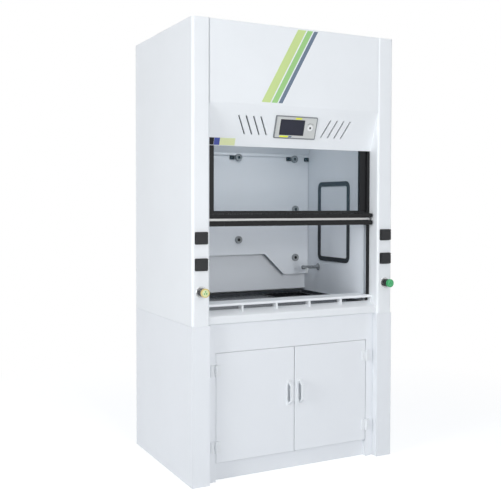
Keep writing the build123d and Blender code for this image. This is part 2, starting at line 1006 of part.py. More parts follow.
# Waste and bottle trap: turned about one upright axis, with the outlet towards the back
trap_top = sink_bottom + sink_wall + waste_flange_thickness
trap_bottom = sink_bottom - trap_neck - trap_height
waste_bore = waste_radius - waste_gap
with BuildPart() as sink_trap:
    with BuildSketch(front_plane(sink_y)):
        with BuildLine():
            Polyline(
                (sink_x, trap_bottom),
                (sink_x + trap_radius, trap_bottom),
                (sink_x + trap_radius, trap_bottom + trap_height),
                (sink_x + waste_bore, trap_bottom + trap_height),
                (sink_x + waste_bore, sink_bottom + sink_wall),
                (sink_x + waste_flange_radius, sink_bottom + sink_wall),
                (sink_x + waste_flange_radius, trap_top),
                (sink_x, trap_top),
                close=True,
            )
        make_face()
    revolve(axis=Axis((sink_x, sink_y, 0), (0, 0, 1)))
    with BuildSketch(front_plane(sink_y)):
        with Locations((sink_x, trap_bottom + trap_height - trap_radius)):
            Circle(waste_radius)
    extrude(amount=-(trap_radius + trap_outlet_length))
finish(sink_trap, "sink_trap")

# Outlets on the chamber walls: water tap on the right, gas nozzle on the left
collar_bottom = outlet_height - tap_tube_radius - nozzle_collar
barb_top = collar_bottom - barb_rise
barb_bottom = barb_top - barb_length
with BuildPart() as service_outlets:
    for side, reach in ((1, tap_reach), (-1, gas_reach)):
        wall = side * chamber_half_width
        inward = -side
        with BuildSketch(floor_plane(outlet_height)):
            with BuildLine():
                Polyline(
                    (wall - inward * outlet_tail_length, outlet_y),
                    (wall - inward * outlet_tail_length, outlet_y + outlet_tail_radius),
                    (wall, outlet_y + outlet_tail_radius),
                    (wall, outlet_y + tap_flange_radius),
                    (wall + inward * tap_flange_thickness, outlet_y + tap_flange_radius - tap_bevel),
                    (wall + inward * tap_flange_thickness, outlet_y + tap_tube_radius),
                    (wall + inward * (reach - tap_cap_length), outlet_y + tap_tube_radius),
                    (wall + inward * (reach - tap_cap_length), outlet_y + tap_cap_radius),
                    (wall + inward * (reach - tap_bevel), outlet_y + tap_cap_radius),
                    (wall + inward * reach, outlet_y + tap_cap_radius - tap_bevel),
                    (wall + inward * reach, outlet_y),
                    close=True,
                )
            make_face()
        revolve(axis=Axis((0, outlet_y, outlet_height), (1, 0, 0)))
    with BuildSketch(front_plane(outlet_y)):
        with BuildLine():
            Polyline(
                (tap_spout_x, outlet_height),
                (tap_spout_x + tap_tube_radius, outlet_height),
                (tap_spout_x + tap_tube_radius, collar_bottom),
                (tap_spout_x + nozzle_radius, collar_bottom),
                (tap_spout_x + nozzle_radius + barb_height, barb_top),
                (tap_spout_x + nozzle_radius, barb_bottom),
                (tap_spout_x + nozzle_radius + barb_height, barb_bottom - barb_step),
                (tap_spout_x + nozzle_tip_radius, outlet_height - tap_spout_drop),
                (tap_spout_x, outlet_height - tap_spout_drop),
                close=True,
            )
        make_face()
    revolve(axis=Axis((tap_spout_x, outlet_y, 0), (0, 0, 1)))
finish(service_outlets, "service_outlets")

# Sill: a bent sheet from the cabinet top, round the knee and back up to the worktop
sill_front = front + sill_foot_inset
sill_angle = radians(sill_slope_angle)
sill_knee = (front + sill_knee_inset, sill_knee_height)
sill_back = worktop_front - sill_sheet * sin(sill_angle)
sill_back_height = sill_knee_height + (sill_back - sill_knee[0]) * tan(sill_angle)
with BuildPart() as sill:
    extrude(
        bent_sheet(
            side_plane(-post_inner),
            [
                (sill_front + sill_foot_depth, base_height),
                (sill_front, base_height),
                sill_knee,
                (sill_back, sill_back_height),
            ],
            sill_sheet,
            [sill_bend, sill_bend],
        ),
        amount=2 * post_inner,
    )
finish(sill, "sill")

# Airfoil: a wide bar with a round nose, notched beside the sash tracks, its tail turned down
foil_front = front + foil_inset
foil_back = foil_front + foil_depth
foil_bottom = foil_top - foil_thickness
track_front = front + track_inset
track_inner = post_inner - track_reach
with BuildPart() as airfoil:
    with BuildSketch(side_plane(-post_inner + foil_post_gap)) as foil_section:
        with BuildLine():
            Polyline(
                (foil_front, foil_bottom),
                (foil_front, foil_top),
                (foil_back - foil_tail, foil_top),
                (foil_back, foil_top - foil_tail),
                (foil_back, foil_bottom - foil_tail),
                (foil_back - foil_thickness, foil_bottom - foil_tail),
                (foil_back - foil_tail - foil_thickness, foil_bottom),
                close=True,
            )
        make_face()
        fillet(foil_section.vertices().group_by(Axis.X)[0], foil_nose)
    extrude(amount=2 * (post_inner - foil_post_gap))
    for side in (-1, 1):
        low = min(side * (track_inner - foil_track_gap), side * post_inner)
        high = max(side * (track_inner - foil_track_gap), side * post_inner)
        extrude(
            panel(
                floor_plane(foil_bottom - 2 * foil_tail),
                (low, track_front - foil_track_gap),
                (high, foil_back + foil_track_gap),
            ),
            amount=foil_thickness + 3 * foil_tail,
            mode=Mode.SUBTRACT,
        )
finish(airfoil, "airfoil")

# Spacers stand on the slanted sill and on the worktop rim and carry the airfoil
spacer_foot = sill_back_height - (sill_back - foil_front) * tan(sill_angle)
inner_spacers = [(index - foil_slots / 2) * foil_slot_pitch for index in range(1, foil_slots)]
end_spacer = post_inner - foil_spacer / 2 - foil_post_gap
with BuildPart() as airfoil_spacers:
    for middle in inner_spacers + [-end_spacer, end_spacer]:
        depth = foil_spacer_depth if abs(middle) < end_spacer else track_front - foil_track_gap - foil_front
        extrude(
            outline(
                side_plane(middle - foil_spacer / 2),
                [
                    (foil_front, spacer_foot),
                    (sill_back, sill_back_height),
                    (worktop_front, rim_top),
                    (foil_front + depth, rim_top),
                    (foil_front + depth, foil_bottom),
                    (foil_front, foil_bottom),
                ],
            ),
            amount=foil_spacer,
        )
finish(airfoil_spacers, "airfoil_spacers")

# Sash tracks: channels on the returns of the posts, open towards the sash
lane_y = front + track_inset + track_depth / 2
with BuildPart() as sash_tracks:
    extrude(
        panel(floor_plane(rim_top), (track_inner, track_front), (post_inner, track_back)),
        amount=track_height - rim_top,
    )
    extrude(
        panel(
            floor_plane(rim_top),
            (track_inner, track_front + track_flange),
            (post_inner - track_web, track_back - track_flange),
        ),
        amount=track_height - rim_top,
        mode=Mode.SUBTRACT,
    )
    mirror(about=Plane.YZ)
finish(sash_tracks, "sash_tracks")

# Sash frame: stiles and top rail round the glass, with a cable clamp on each stile
sash_front = lane_y - sash_thickness / 2
sash_back = lane_y + sash_thickness / 2
sash_top = sash_bottom + sash_height
rail_top = sash_bottom + handle_height
glass_front = lane_y - glass_thickness / 2
glass_half = sash_half_width - stile_width + glass_bite
glass_low = rail_top - glass_bite
glass_high = sash_top - top_rail + glass_bite
cable_foot = sash_top + sash_clamp
with BuildPart() as sash_frame:
    extrude(
        panel(front_plane(sash_back), (-sash_half_width, rail_top), (sash_half_width, sash_top)),
        amount=sash_thickness,
    )
    extrude(
        panel(
            front_plane(sash_back),
            (-sash_half_width + stile_width, rail_top),
            (sash_half_width - stile_width, sash_top - top_rail),
        ),
        amount=sash_thickness,
        mode=Mode.SUBTRACT,
    )
    extrude(
        panel(
            front_plane(glass_front + glass_thickness), (-glass_half, rail_top), (glass_half, glass_high)
        ),
        amount=glass_thickness,
        mode=Mode.SUBTRACT,
    )
    for side in (-1, 1):
        extrude(
            disc(floor_plane(sash_top), (side * pulley_lane, lane_y), clamp_radius), amount=sash_clamp
        )
finish(sash_frame, "sash_frame")

with BuildPart() as sash_glass:
    extrude(
        panel(
            front_plane(glass_front + glass_thickness), (-glass_half, glass_low), (glass_half, glass_high)
        ),
        amount=glass_thickness,
    )
finish(sash_glass, "sash_glass")

# Sash handle: bottom rail with two rounded lips in front and a groove for the bright strip
handle_front = front + handle_front_inset
neck_front = track_front - handle_track_gap
groove_y = front + groove_inset
with BuildPart() as sash_handle:
    with BuildSketch(side_plane(-handle_lip_half)) as lip_section:
        with BuildLine():
            Polyline(
                (neck_front, sash_bottom),
                (handle_front, sash_bottom),
                (handle_front, sash_bottom + lower_lip_height),
                (groove_y, sash_bottom + lower_lip_height),
                (groove_y, sash_bottom + upper_lip_bottom),
                (handle_front, sash_bottom + upper_lip_bottom),
                (handle_front, sash_bottom + upper_lip_top),
                (neck_front, sash_bottom + upper_lip_top),
                close=True,
            )
        make_face()
        fillet(lip_section.vertices().group_by(Axis.X)[0], lip_radius)
    extrude(amount=2 * handle_lip_half)
    extrude(
        outline(
            side_plane(-handle_neck_half),
            [
                (neck_front, sash_bottom),
                (sash_front, sash_bottom),
                (sash_front, rail_top),
                (neck_front, sash_bottom + upper_lip_top),
            ],
        ),
        amount=2 * handle_neck_half,
    )
    extrude(
        panel(front_plane(sash_back), (-sash_half_width, sash_bottom), (sash_half_width, rail_top)),
        amount=sash_thickness,
    )
    extrude(
        panel(
            front_plane(glass_front + glass_thickness), (-glass_half, glass_low), (glass_half, rail_top)
        ),
        amount=glass_thickness,
        mode=Mode.SUBTRACT,
    )
finish(sash_handle, "sash_handle")

strip_bottom = sash_bottom + (lower_lip_height + upper_lip_bottom - strip_height) / 2
with BuildPart() as handle_strip:
    extrude(
        panel(
            front_plane(groove_y),
            (-handle_lip_half, strip_bottom),
            (handle_lip_half, strip_bottom + strip_height),
        ),
        amount=strip_thickness,
    )
finish(handle_strip, "handle_strip")

# Glides: four blocks that run in the tracks
glide_front = track_front + track_flange + glide_gap
glide_back = track_back - track_flange - glide_gap
glide_outer = post_inner - track_web - glide_gap
with BuildPart() as sash_glides:
    for bottom in (sash_bottom + glide_height / 4, sash_top - glide_height * 5 / 4):
        extrude(
            panel(floor_plane(bottom), (sash_half_width, glide_front), (glide_outer, glide_back)),
            amount=glide_height,
        )
    mirror(about=Plane.YZ)
finish(sash_glides, "sash_glides")

# Counterbalance: cable over a pulley on each side, with a steel weight inside the post
cable_turn = pulley_groove_radius + cable_radius + pulley_cable_gap
pulley_x = pulley_lane + cable_turn
weight_x = pulley_lane + 2 * cable_turn
weight_cable_foot = weight_top + sash_clamp


def cable_run(side):
    """Path of one cable from its clamp on the sash over the pulley to its weight."""
    with BuildLine(front_plane(lane_y)) as run:
        Line((side * pulley_lane, cable_foot), (side * pulley_lane, pulley_height))
        ThreePointArc(
            (side * pulley_lane, pulley_height),
            (side * pulley_x, pulley_height + cable_turn),
            (side * weight_x, pulley_height),
        )
        Line((side * weight_x, pulley_height), (side * weight_x, weight_cable_foot))
    return run.line


with BuildPart() as sash_cables:
    for side in (-1, 1):
        sweep(
            disc(floor_plane(cable_foot), (side * pulley_lane, lane_y), cable_radius),
            path=cable_run(side),
        )
finish(sash_cables, "sash_cables")

for side, label in ((-1, "pulley_left"), (1, "pulley_right")):
    with BuildPart() as pulley:
        with BuildSketch(Plane(origin=(side * pulley_x, lane_y, pulley_height))):
            with BuildLine():
                Polyline(
                    (axle_radius + axle_gap, -pulley_width / 2),
                    (pulley_hub_radius, -pulley_width / 2),
                    (pulley_hub_radius, -pulley_web / 2),
                    (pulley_rim_inner, -pulley_web / 2),
                    (pulley_rim_inner, -pulley_width / 2),
                    (pulley_rim_radius, -pulley_width / 2),
                    (pulley_rim_radius, -pulley_mouth / 2),
                    (pulley_groove_radius, -pulley_throat / 2),
                    (pulley_groove_radius, pulley_throat / 2),
                    (pulley_rim_radius, pulley_mouth / 2),
                    (pulley_rim_radius, pulley_width / 2),
                    (pulley_rim_inner, pulley_width / 2),
                    (pulley_rim_inner, pulley_web / 2),
                    (pulley_hub_radius, pulley_web / 2),
                    (pulley_hub_radius, pulley_width / 2),
                    (axle_radius + axle_gap, pulley_width / 2),
                    close=True,
                )
            make_face()
        revolve(axis=Axis((side * pulley_x, lane_y, pulley_height), (0, 1, 0)))
    finish(pulley, label)

# Brackets: a plate under the roof, two cheeks and the riveted axle, one solid a side
cheek = pulley_width / 2 + bracket_gap
with BuildPart() as pulley_brackets:
    for side in (-1, 1):
        with BuildSketch(side_plane(side * pulley_x - bracket_width / 2)):
            with BuildLine():
                Polyline(
                    (lane_y - cheek - bracket_plate, pulley_height - bracket_drop),
                    (lane_y - cheek, pulley_height - bracket_drop),
                    (lane_y - cheek, roof_bottom - bracket_plate),
                    (lane_y + cheek, roof_bottom - bracket_plate),
                    (lane_y + cheek, pulley_height - bracket_drop),
                    (lane_y + cheek + bracket_plate, pulley_height - bracket_drop),
                    (lane_y + cheek + bracket_plate, roof_bottom),
                    (lane_y - cheek - bracket_plate, roof_bottom),
                    close=True,
                )
            make_face()
        extrude(amount=bracket_width)
        extrude(
            disc(
                front_plane(lane_y + cheek + bracket_plate), (side * pulley_x, pulley_height), axle_radius
            ),
            amount=2 * (cheek + bracket_plate),
        )
finish(pulley_brackets, "pulley_brackets")

for side, label in ((-1, "counterweight_left"), (1, "counterweight_right")):
    with BuildPart() as counterweight:
        with BuildSketch(floor_plane(weight_top - weight_length)):
            with Locations((side * weight_x, lane_y)):
                RectangleRounded(weight_side, weight_side, weight_edge)
        extrude(amount=weight_length)
        extrude(disc(floor_plane(weight_top), (side * weight_x, lane_y), clamp_radius), amount=sash_clamp)
    finish(counterweight, label)

# Base cabinet: welded sides with front edges turned in, floor and back
cabinet_face = front + cabinet_inset
cabinet_edge_x = cabinet_half_width - cabinet_edge
cabinet_back = front + cabinet_back_inset + cabinet_sheet
cabinet_inner = cabinet_half_width - cabinet_sheet
cabinet_floor_front = cabinet_face + cabinet_return
with BuildPart() as cabinet_carcass:
    extrude(
        bent_sheet(
            floor_plane(0),
            [
                (cabinet_half_width, cabinet_back),
                (cabinet_half_width, cabinet_face),
                (cabinet_edge_x, cabinet_face),
                (cabinet_edge_x, cabinet_floor_front),
            ],
            cabinet_sheet,
            [0, 0],
        ),
        amount=base_height,
    )
    mirror(about=Plane.YZ)
    extrude(
        panel(
            floor_plane(cabinet_floor_height),
            (-cabinet_inner, cabinet_floor_front),
            (cabinet_inner, cabinet_back - cabinet_sheet),
        ),
        amount=cabinet_sheet,
    )
    extrude(
        panel(front_plane(cabinet_back), (-cabinet_inner, 0), (cabinet_inner, base_height)),
        amount=cabinet_sheet,
    )
finish(cabinet_carcass, "cabinet_carcass")

# Apron above the doors and plinth below them
with BuildPart() as cabinet_rails:
    extrude(
        panel(
            front_plane(cabinet_face + cabinet_sheet),
            (-cabinet_edge_x, door_top + apron_gap),
            (cabinet_edge_x, base_height),
        ),
        amount=cabinet_sheet,
    )
    extrude(
        panel(
            front_plane(cabinet_floor_front + cabinet_sheet),
            (-cabinet_inner, 0),
            (cabinet_inner, cabinet_floor_height),
        ),
        amount=cabinet_sheet,
    )
finish(cabinet_rails, "cabinet_rails")

# Doors: trays with round front edges, let in between the cabinet's edges
door_inner = door_gap / 2
door_outer = cabinet_edge_x - door_side_gap
handle_middle = handle_bottom + handle_length / 2
with BuildPart() as door_right:
    extrude(
        panel(
            front_plane(cabinet_face + door_thickness),
            (door_inner, door_bottom),
            (door_outer, door_top),
        ),
        amount=door_thickness,
    )
    fillet(door_right.faces().sort_by(Axis.Y)[0].edges(), door_edge_radius)
    extrude(
        panel(
            front_plane(cabinet_face + door_thickness),
            (door_inner + door_wall, door_bottom + door_wall),
            (door_outer - door_wall, door_top - door_wall),
        ),
        amount=door_thickness - door_wall,
        mode=Mode.SUBTRACT,
    )
    with BuildSketch(front_plane(cabinet_face)):
        with Locations((handle_x, handle_middle)):
            SlotOverall(
                handle_length - 2 * cup_margin + 2 * cup_gap, cup_width + 2 * cup_gap, rotation=90
            )
    extrude(amount=-door_wall, mode=Mode.SUBTRACT)
finish(door_right, "door_right")

with BuildPart() as door_left:
    mirror(door_right.part, about=Plane.YZ)
finish(door_left, "door_left")

# Door handles: a bow with slanted legs on a plate, and a finger cup let into the door
grip_face = cabinet_face - handle_stand_off
handle_top = handle_bottom + handle_length
with BuildPart() as door_handle_right:
    extrude(
        bent_sheet(
            side_plane(handle_x - handle_width / 2),
            [
                (cabinet_face, handle_bottom),
                (grip_face, handle_bottom + handle_slope),
                (grip_face, handle_top - handle_slope),
                (cabinet_face, handle_top),
            ],
            handle_bar,
            [handle_fillet, handle_fillet],
        ),
        amount=handle_width,
    )
    fillet(door_handle_right.faces().filter_by(Axis.X).edges(), handle_edge_radius)
    split(bisect_by=front_plane(cabinet_face), keep=Keep.TOP)
    with BuildSketch(front_plane(cabinet_face)):
        with Locations((handle_x, handle_middle)):
            SlotOverall(handle_length + handle_plate_margin, handle_plate_width, rotation=90)
    extrude(amount=handle_plate_thickness)
    with BuildSketch(front_plane(cabinet_face)):
        with Locations((handle_x, handle_middle)):
            SlotOverall(handle_length - 2 * cup_margin, cup_width, rotation=90)
    extrude(amount=-cup_depth)
    with BuildSketch(front_plane(cabinet_face - handle_plate_thickness)):
        with Locations((handle_x, handle_middle)):
            SlotOverall(
                handle_length - 2 * cup_margin - 2 * cup_wall, cup_width - 2 * cup_wall, rotation=90
            )
    extrude(amount=cup_wall - cup_depth - handle_plate_thickness, mode=Mode.SUBTRACT)
finish(door_handle_right, "door_handle_right")

with BuildPart() as door_handle_left:
    mirror(door_handle_right.part, about=Plane.YZ)
finish(door_handle_left, "door_handle_left")

# Door hinges: two knuckles and the pin stay on the cabinet, the middle knuckle goes with the door
hinge_x = cabinet_edge_x + hinge_side_gap
hinge_y = cabinet_face - hinge_radius
leaf_front = cabinet_face - hinge_leaf_thickness
leaf_step = hinge_radius + hinge_side_gap
hinge_bottoms = [height - hinge_length / 2 for height in hinge_heights]
with BuildPart() as hinge_frames:
    for bottom in hinge_bottoms:
        extrude(
            disc(floor_plane(bottom), (hinge_x, hinge_y), hinge_pin_radius), amount=hinge_length
        )
        extrude(
            panel(
                floor_plane(bottom),
                (hinge_x + leaf_step, leaf_front),
                (hinge_x + hinge_leaf, cabinet_face),
            ),
            amount=hinge_length,
        )
        for knuckle in (bottom, bottom + hinge_length - hinge_knuckle):
            extrude(disc(floor_plane(knuckle), (hinge_x, hinge_y), hinge_radius), amount=hinge_knuckle)
            extrude(
                panel(
                    floor_plane(knuckle), (hinge_x, leaf_front), (hinge_x + leaf_step, cabinet_face)
                ),
                amount=hinge_knuckle,
            )
    mirror(about=Plane.YZ)
finish(hinge_frames, "hinge_frames")

with BuildPart() as hinge_leaves_right:
    for bottom in hinge_bottoms:
        knuckle = bottom + hinge_knuckle + hinge_knuckle_gap
        reach = hinge_length - 2 * (hinge_knuckle + hinge_knuckle_gap)
        extrude(disc(floor_plane(knuckle), (hinge_x, hinge_y), hinge_radius), amount=reach)
        extrude(
            panel(floor_plane(knuckle), (hinge_x - leaf_step, leaf_front), (hinge_x, cabinet_face)),
            amount=reach,
        )
        extrude(
            panel(
                floor_plane(bottom),
                (hinge_x - hinge_leaf, leaf_front),
                (hinge_x - leaf_step, cabinet_face),
            ),
            amount=hinge_length,
        )
        extrude(
            disc(floor_plane(bottom), (hinge_x, hinge_y), hinge_pin_radius + hinge_pin_gap),
            amount=hinge_length,
            mode=Mode.SUBTRACT,
        )
finish(hinge_leaves_right, "hinge_leaves_right")

with BuildPart() as hinge_leaves_left:
    mirror(hinge_leaves_right.part, about=Plane.YZ)
finish(hinge_leaves_left, "hinge_leaves_left")

# Service valves: escutcheon and neck in front of the post, body and supply pipe behind it
neck_front_y = front - valve_neck_reach
valve_back = front + casing_sheet + valve_body_length
outlet_tail_x = chamber_half_width + outlet_tail_length
with BuildPart() as service_valves:
    with BuildSketch(floor_plane(valve_height)):
        with BuildLine():
            Polyline(
                (post_middle, neck_front_y),
                (post_middle + valve_neck_radius, neck_front_y),
                (post_middle + valve_neck_radius, front - escutcheon_thickness),
                (post_middle + escutcheon_radius - escutcheon_bevel, front - escutcheon_thickness),
                (post_middle + escutcheon_radius, front - escutcheon_thickness + escutcheon_bevel),
                (post_middle + escutcheon_radius, front),
                (post_middle + valve_neck_radius, front),
                (post_middle + valve_neck_radius, front + casing_sheet),
                (post_middle + valve_body_radius, front + casing_sheet),
                (post_middle + valve_body_radius, valve_back - valve_shoulder),
                (post_middle + valve_neck_radius, valve_back),
                (post_middle, valve_back),
                close=True,
            )
        make_face()
    revolve(axis=Axis((post_middle, front, valve_height), (0, 1, 0)))
    extrude(
        disc(front_plane(neck_front_y), (post_middle, valve_height), spindle_radius + spindle_gap),
        amount=-spindle_depth,
        mode=Mode.SUBTRACT,
    )
    with BuildLine() as pipe_run:
        FilletPolyline(
            (post_middle, valve_back, valve_height),
            (post_middle, outlet_y, valve_height),
            (post_middle, outlet_y, outlet_height),
            (outlet_tail_x, outlet_y, outlet_height),
            radius=pipe_bend,
        )
    sweep(disc(front_plane(valve_back), (post_middle, valve_height), pipe_radius), path=pipe_run.line)
    mirror(about=Plane.YZ)
finish(service_valves, "service_valves")

# Valve knobs: fluted body on a spindle, with a dished coloured cap
knob_back = neck_front_y - knob_clearance
knob_front = front - knob_reach + cap_thickness
for side, name in ((-1, "left"), (1, "right")):
    with BuildPart() as valve_knob:
        with BuildSketch(front_plane(knob_back)):
            with Locations((side * post_middle, valve_height)):
                Circle(knob_radius)
                with PolarLocations(knob_radius + knob_flute_radius / 2, knob_flutes):
                    Circle(knob_flute_radius, mode=Mode.SUBTRACT)
        extrude(amount=knob_back - knob_front)
        extrude(
            disc(front_plane(knob_back), (side * post_middle, valve_height), spindle_radius),
            amount=-(spindle_depth - spindle_end_gap),
        )
    finish(valve_knob, f"valve_knob_{name}")

    with BuildPart() as valve_cap:
        extrude(
            disc(front_plane(knob_front), (side * post_middle, valve_height), cap_radius),
            amount=cap_thickness,
        )
        chamfer(valve_cap.edges().filter_by(GeomType.CIRCLE).group_by(Axis.Y)[0], cap_rim / 4)
        extrude(
            disc(
                front_plane(knob_front - cap_thickness),
                (side * post_middle, valve_height),
                cap_radius - cap_rim,
            ),
            amount=-cap_dish,
            mode=Mode.SUBTRACT,
        )
    finish(valve_cap, f"valve_cap_{name}")

# Sockets: plate on the post, box behind it, two lugs at the top for the flip lid
plate_face = front - socket_plate
lid_radius = (lid_reach - socket_plate - lid_gap) / 2
lid_axis_y = plate_face - lid_gap - lid_radius
lid_axis_rise = socket_height / 2 - lug_margin - lid_radius
lug_outer = socket_width / 2 - lug_inset
lug_inner = lug_outer - lug_width
socket_places = [(side * post_middle, height) for side in (-1, 1) for height in socket_heights]
with BuildPart() as socket_bodies:
    with BuildSketch(front_plane(front)):
        with Locations(*socket_places):
            RectangleRounded(socket_width, socket_height, socket_corner)
    extrude(amount=socket_plate)
    with BuildSketch(front_plane(front)):
        with Locations(*socket_places):
            Rectangle(socket_box_width, socket_box_height)
    extrude(amount=-socket_box_depth)
    with BuildSketch(front_plane(plate_face)):
        with Locations(*socket_places):
            Circle(socket_well_radius)
    extrude(amount=-socket_well_depth, mode=Mode.SUBTRACT)
    with BuildSketch(front_plane(plate_face + socket_well_depth)):
        with Locations(*socket_places):
            with Locations((-socket_pin_pitch / 2, 0), (socket_pin_pitch / 2, 0)):
                Circle(socket_pin_radius)
    extrude(amount=-socket_pin_depth, mode=Mode.SUBTRACT)
    for x, height in socket_places:
        axis_height = height + lid_axis_rise
        for lug_start in (x - lug_outer, x + lug_inner):
            with BuildSketch(side_plane(lug_start)):
                with Locations((lid_axis_y, axis_height)):
                    Circle(lid_radius)
                with Locations(((lid_axis_y + plate_face) / 2, axis_height)):
                    Rectangle(plate_face - lid_axis_y, 2 * lid_radius)
                with Locations((lid_axis_y, axis_height)):
                    Circle(lid_pin_radius + lid_pin_gap, mode=Mode.SUBTRACT)
            extrude(amount=lug_width)
finish(socket_bodies, "socket_bodies")

# Flip lids: hollow caps, round along the top, with stub pins in the lugs
lid_bottom = lid_margin - socket_height / 2
lid_half = socket_width / 2 - lid_margin
barrel_half = lug_inner - lug_gap
pin_half = lug_outer - lug_gap
shoulder_rise = lid_axis_rise - lid_radius - lid_shoulder_gap
for x, height in socket_places:
    with BuildPart() as socket_lid:
        extrude(
            panel(
                front_plane(plate_face - lid_gap),
                (x - lid_half, height + lid_bottom),
                (x + lid_half, height + shoulder_rise),
            ),
            amount=2 * lid_radius,
        )
        fillet(socket_lid.edges().filter_by(Axis.Y).group_by(Axis.Z)[0], lid_corner)
        extrude(
            panel(
                front_plane(plate_face - lid_gap),
                (x - barrel_half, height + shoulder_rise),
                (x + barrel_half, height + lid_axis_rise),
            ),
            amount=2 * lid_radius,
        )
        extrude(
            panel(
                front_plane(plate_face - lid_gap),
                (x - lid_half + lid_wall, height + lid_bottom + lid_wall),
                (x + lid_half - lid_wall, height + shoulder_rise - lid_wall),
            ),
            amount=2 * lid_radius - lid_wall,
            mode=Mode.SUBTRACT,
        )
        extrude(
            disc(side_plane(x - barrel_half), (lid_axis_y, height + lid_axis_rise), lid_radius),
            amount=2 * barrel_half,
        )
        extrude(
            disc(side_plane(x - pin_half), (lid_axis_y, height + lid_axis_rise), lid_pin_radius),
            amount=2 * pin_half,
        )
    side_name = "left" if x < 0 else "right"
    level_name = "lower" if height == socket_heights[0] else "upper"
    finish(socket_lid, f"socket_lid_{side_name}_{level_name}")
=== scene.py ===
import math

import bmesh
import bpy
from mathutils import Matrix, Vector


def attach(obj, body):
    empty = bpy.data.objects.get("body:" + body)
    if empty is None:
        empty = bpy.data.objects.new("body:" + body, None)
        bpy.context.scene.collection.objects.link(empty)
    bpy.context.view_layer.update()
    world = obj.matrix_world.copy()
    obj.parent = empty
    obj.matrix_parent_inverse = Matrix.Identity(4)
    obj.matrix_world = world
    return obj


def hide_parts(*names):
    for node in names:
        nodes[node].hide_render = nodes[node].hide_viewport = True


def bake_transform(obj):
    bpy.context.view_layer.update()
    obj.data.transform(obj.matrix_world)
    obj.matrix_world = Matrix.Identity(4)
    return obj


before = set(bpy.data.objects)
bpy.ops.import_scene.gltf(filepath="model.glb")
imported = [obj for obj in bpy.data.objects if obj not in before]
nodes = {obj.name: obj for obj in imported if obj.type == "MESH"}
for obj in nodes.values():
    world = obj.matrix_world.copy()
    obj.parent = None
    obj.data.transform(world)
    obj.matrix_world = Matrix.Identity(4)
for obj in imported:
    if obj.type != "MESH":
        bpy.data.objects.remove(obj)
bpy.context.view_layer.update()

scene = bpy.context.scene

# Lengths below are in millimetres and turn into metres in at(). X runs across the hood,
# depth counts back from the post fronts, and z is up from the floor.
POST_FRONT = -0.401


def at(x, depth, z):
    return Vector((x / 1000, POST_FRONT + depth / 1000, z / 1000))


# Slope of the fascia: u runs across, v up the slope, w out of it
SLOPE_MIDDLE = at(0, 37.53, 1870.5)
SLOPE_UP = Vector((0, -68, 218)).normalized()
SLOPE_OUT = Vector((0, -218, -68)).normalized()


def on_slope(u, v, w):
    return SLOPE_MIDDLE + Vector((u / 1000, 0, 0)) + SLOPE_UP * (v / 1000) + SLOPE_OUT * (w / 1000)


# Camera at the photograph's viewing angle
YAW, PITCH, ROLL = 0.47491, -0.02881, 0.00176
camera_data = bpy.data.cameras.new("camera")
camera = bpy.data.objects.new("camera", camera_data)
scene.collection.objects.link(camera)
camera_data.sensor_width = 36.0
camera_data.lens = 56.69
camera_data.shift_y = -0.045
tilt = Matrix.Rotation(math.pi / 2 + PITCH, 4, "X") @ Matrix.Rotation(ROLL, 4, "Z")
turn = Matrix.Rotation(-YAW, 4, "Z") @ tilt
camera.matrix_world = Matrix.Translation((-2.18391, -4.07964, 1.45076)) @ turn
scene.camera = camera


# Materials

def linear(text):
    """Linear colour of a #rrggbb value."""
    out = []
    for start in (1, 3, 5):
        value = int(text[start : start + 2], 16) / 255
        out.append(value / 12.92 if value <= 0.04045 else ((value + 0.055) / 1.055) ** 2.4)
    return (*out, 1.0)


class Nodes:
    """Short hand for building a node tree."""

    def __init__(self, name):
        self.material = bpy.data.materials.new(name)
        self.material.use_nodes = True
        self.tree = self.material.node_tree
        self.shader = self.tree.nodes["Principled BSDF"]

    def add(self, kind, **values):
        node = self.tree.nodes.new(kind)
        for key, value in values.items():
            setattr(node, key, value)
        return node

    def link(self, source, target):
        self.tree.links.new(source, target)

    def put(self, node, **values):
        for key, value in values.items():
            node.inputs[key.replace("_", " ")].default_value = value

    def noise(self, scale, detail=3.0, rough=0.55, stretch=(1, 1, 1)):
        place = self.add("ShaderNodeTexCoord")
        sized = self.add("ShaderNodeMapping")
        sized.inputs["Scale"].default_value = stretch
        self.link(place.outputs["Object"], sized.inputs["Vector"])
        noise = self.add("ShaderNodeTexNoise")
        self.put(noise, Scale=scale, Detail=detail, Roughness=rough)
        self.link(sized.outputs["Vector"], noise.inputs["Vector"])
        return noise.outputs["Fac"]

    def ramp(self, source, low, high, start=0.3, end=0.7):
        ramp = self.add("ShaderNodeValToRGB")
        ramp.color_ramp.elements[0].position = start
        ramp.color_ramp.elements[1].position = end
        ramp.color_ramp.elements[0].color = low
        ramp.color_ramp.elements[1].color = high
        self.link(source, ramp.inputs["Fac"])
        return ramp.outputs["Color"]

    def remap(self, source, low, high, start=0.3, end=0.7):
        node = self.add("ShaderNodeMapRange")
        for socket, value in (("From Min", start), ("From Max", end), ("To Min", low), ("To Max", high)):
            node.inputs[socket].default_value = value
        self.link(source, node.inputs["Value"])
        return node.outputs["Result"]

    def math(self, operation, first, second=None):
        node = self.add("ShaderNodeMath", operation=operation)
        for index, value in enumerate((first, second)):
            if value is None:
                continue
            if isinstance(value, (int, float)):
                node.inputs[index].default_value = value
            else:
                self.link(value, node.inputs[index])
        return node.outputs[0]

    def mix(self, share, first, second):
        node = self.add("ShaderNodeMix", data_type="RGBA")
        self.link(share, node.inputs["Factor"])
        for socket, value in ((6, first), (7, second)):
            if isinstance(value, tuple):
                node.inputs[socket].default_value = value
            else:
                self.link(value, node.inputs[socket])
        return node.outputs[2]


def tint(colour, share):
    return tuple(min(1.0, part * share) for part in colour[:3]) + (1.0,)


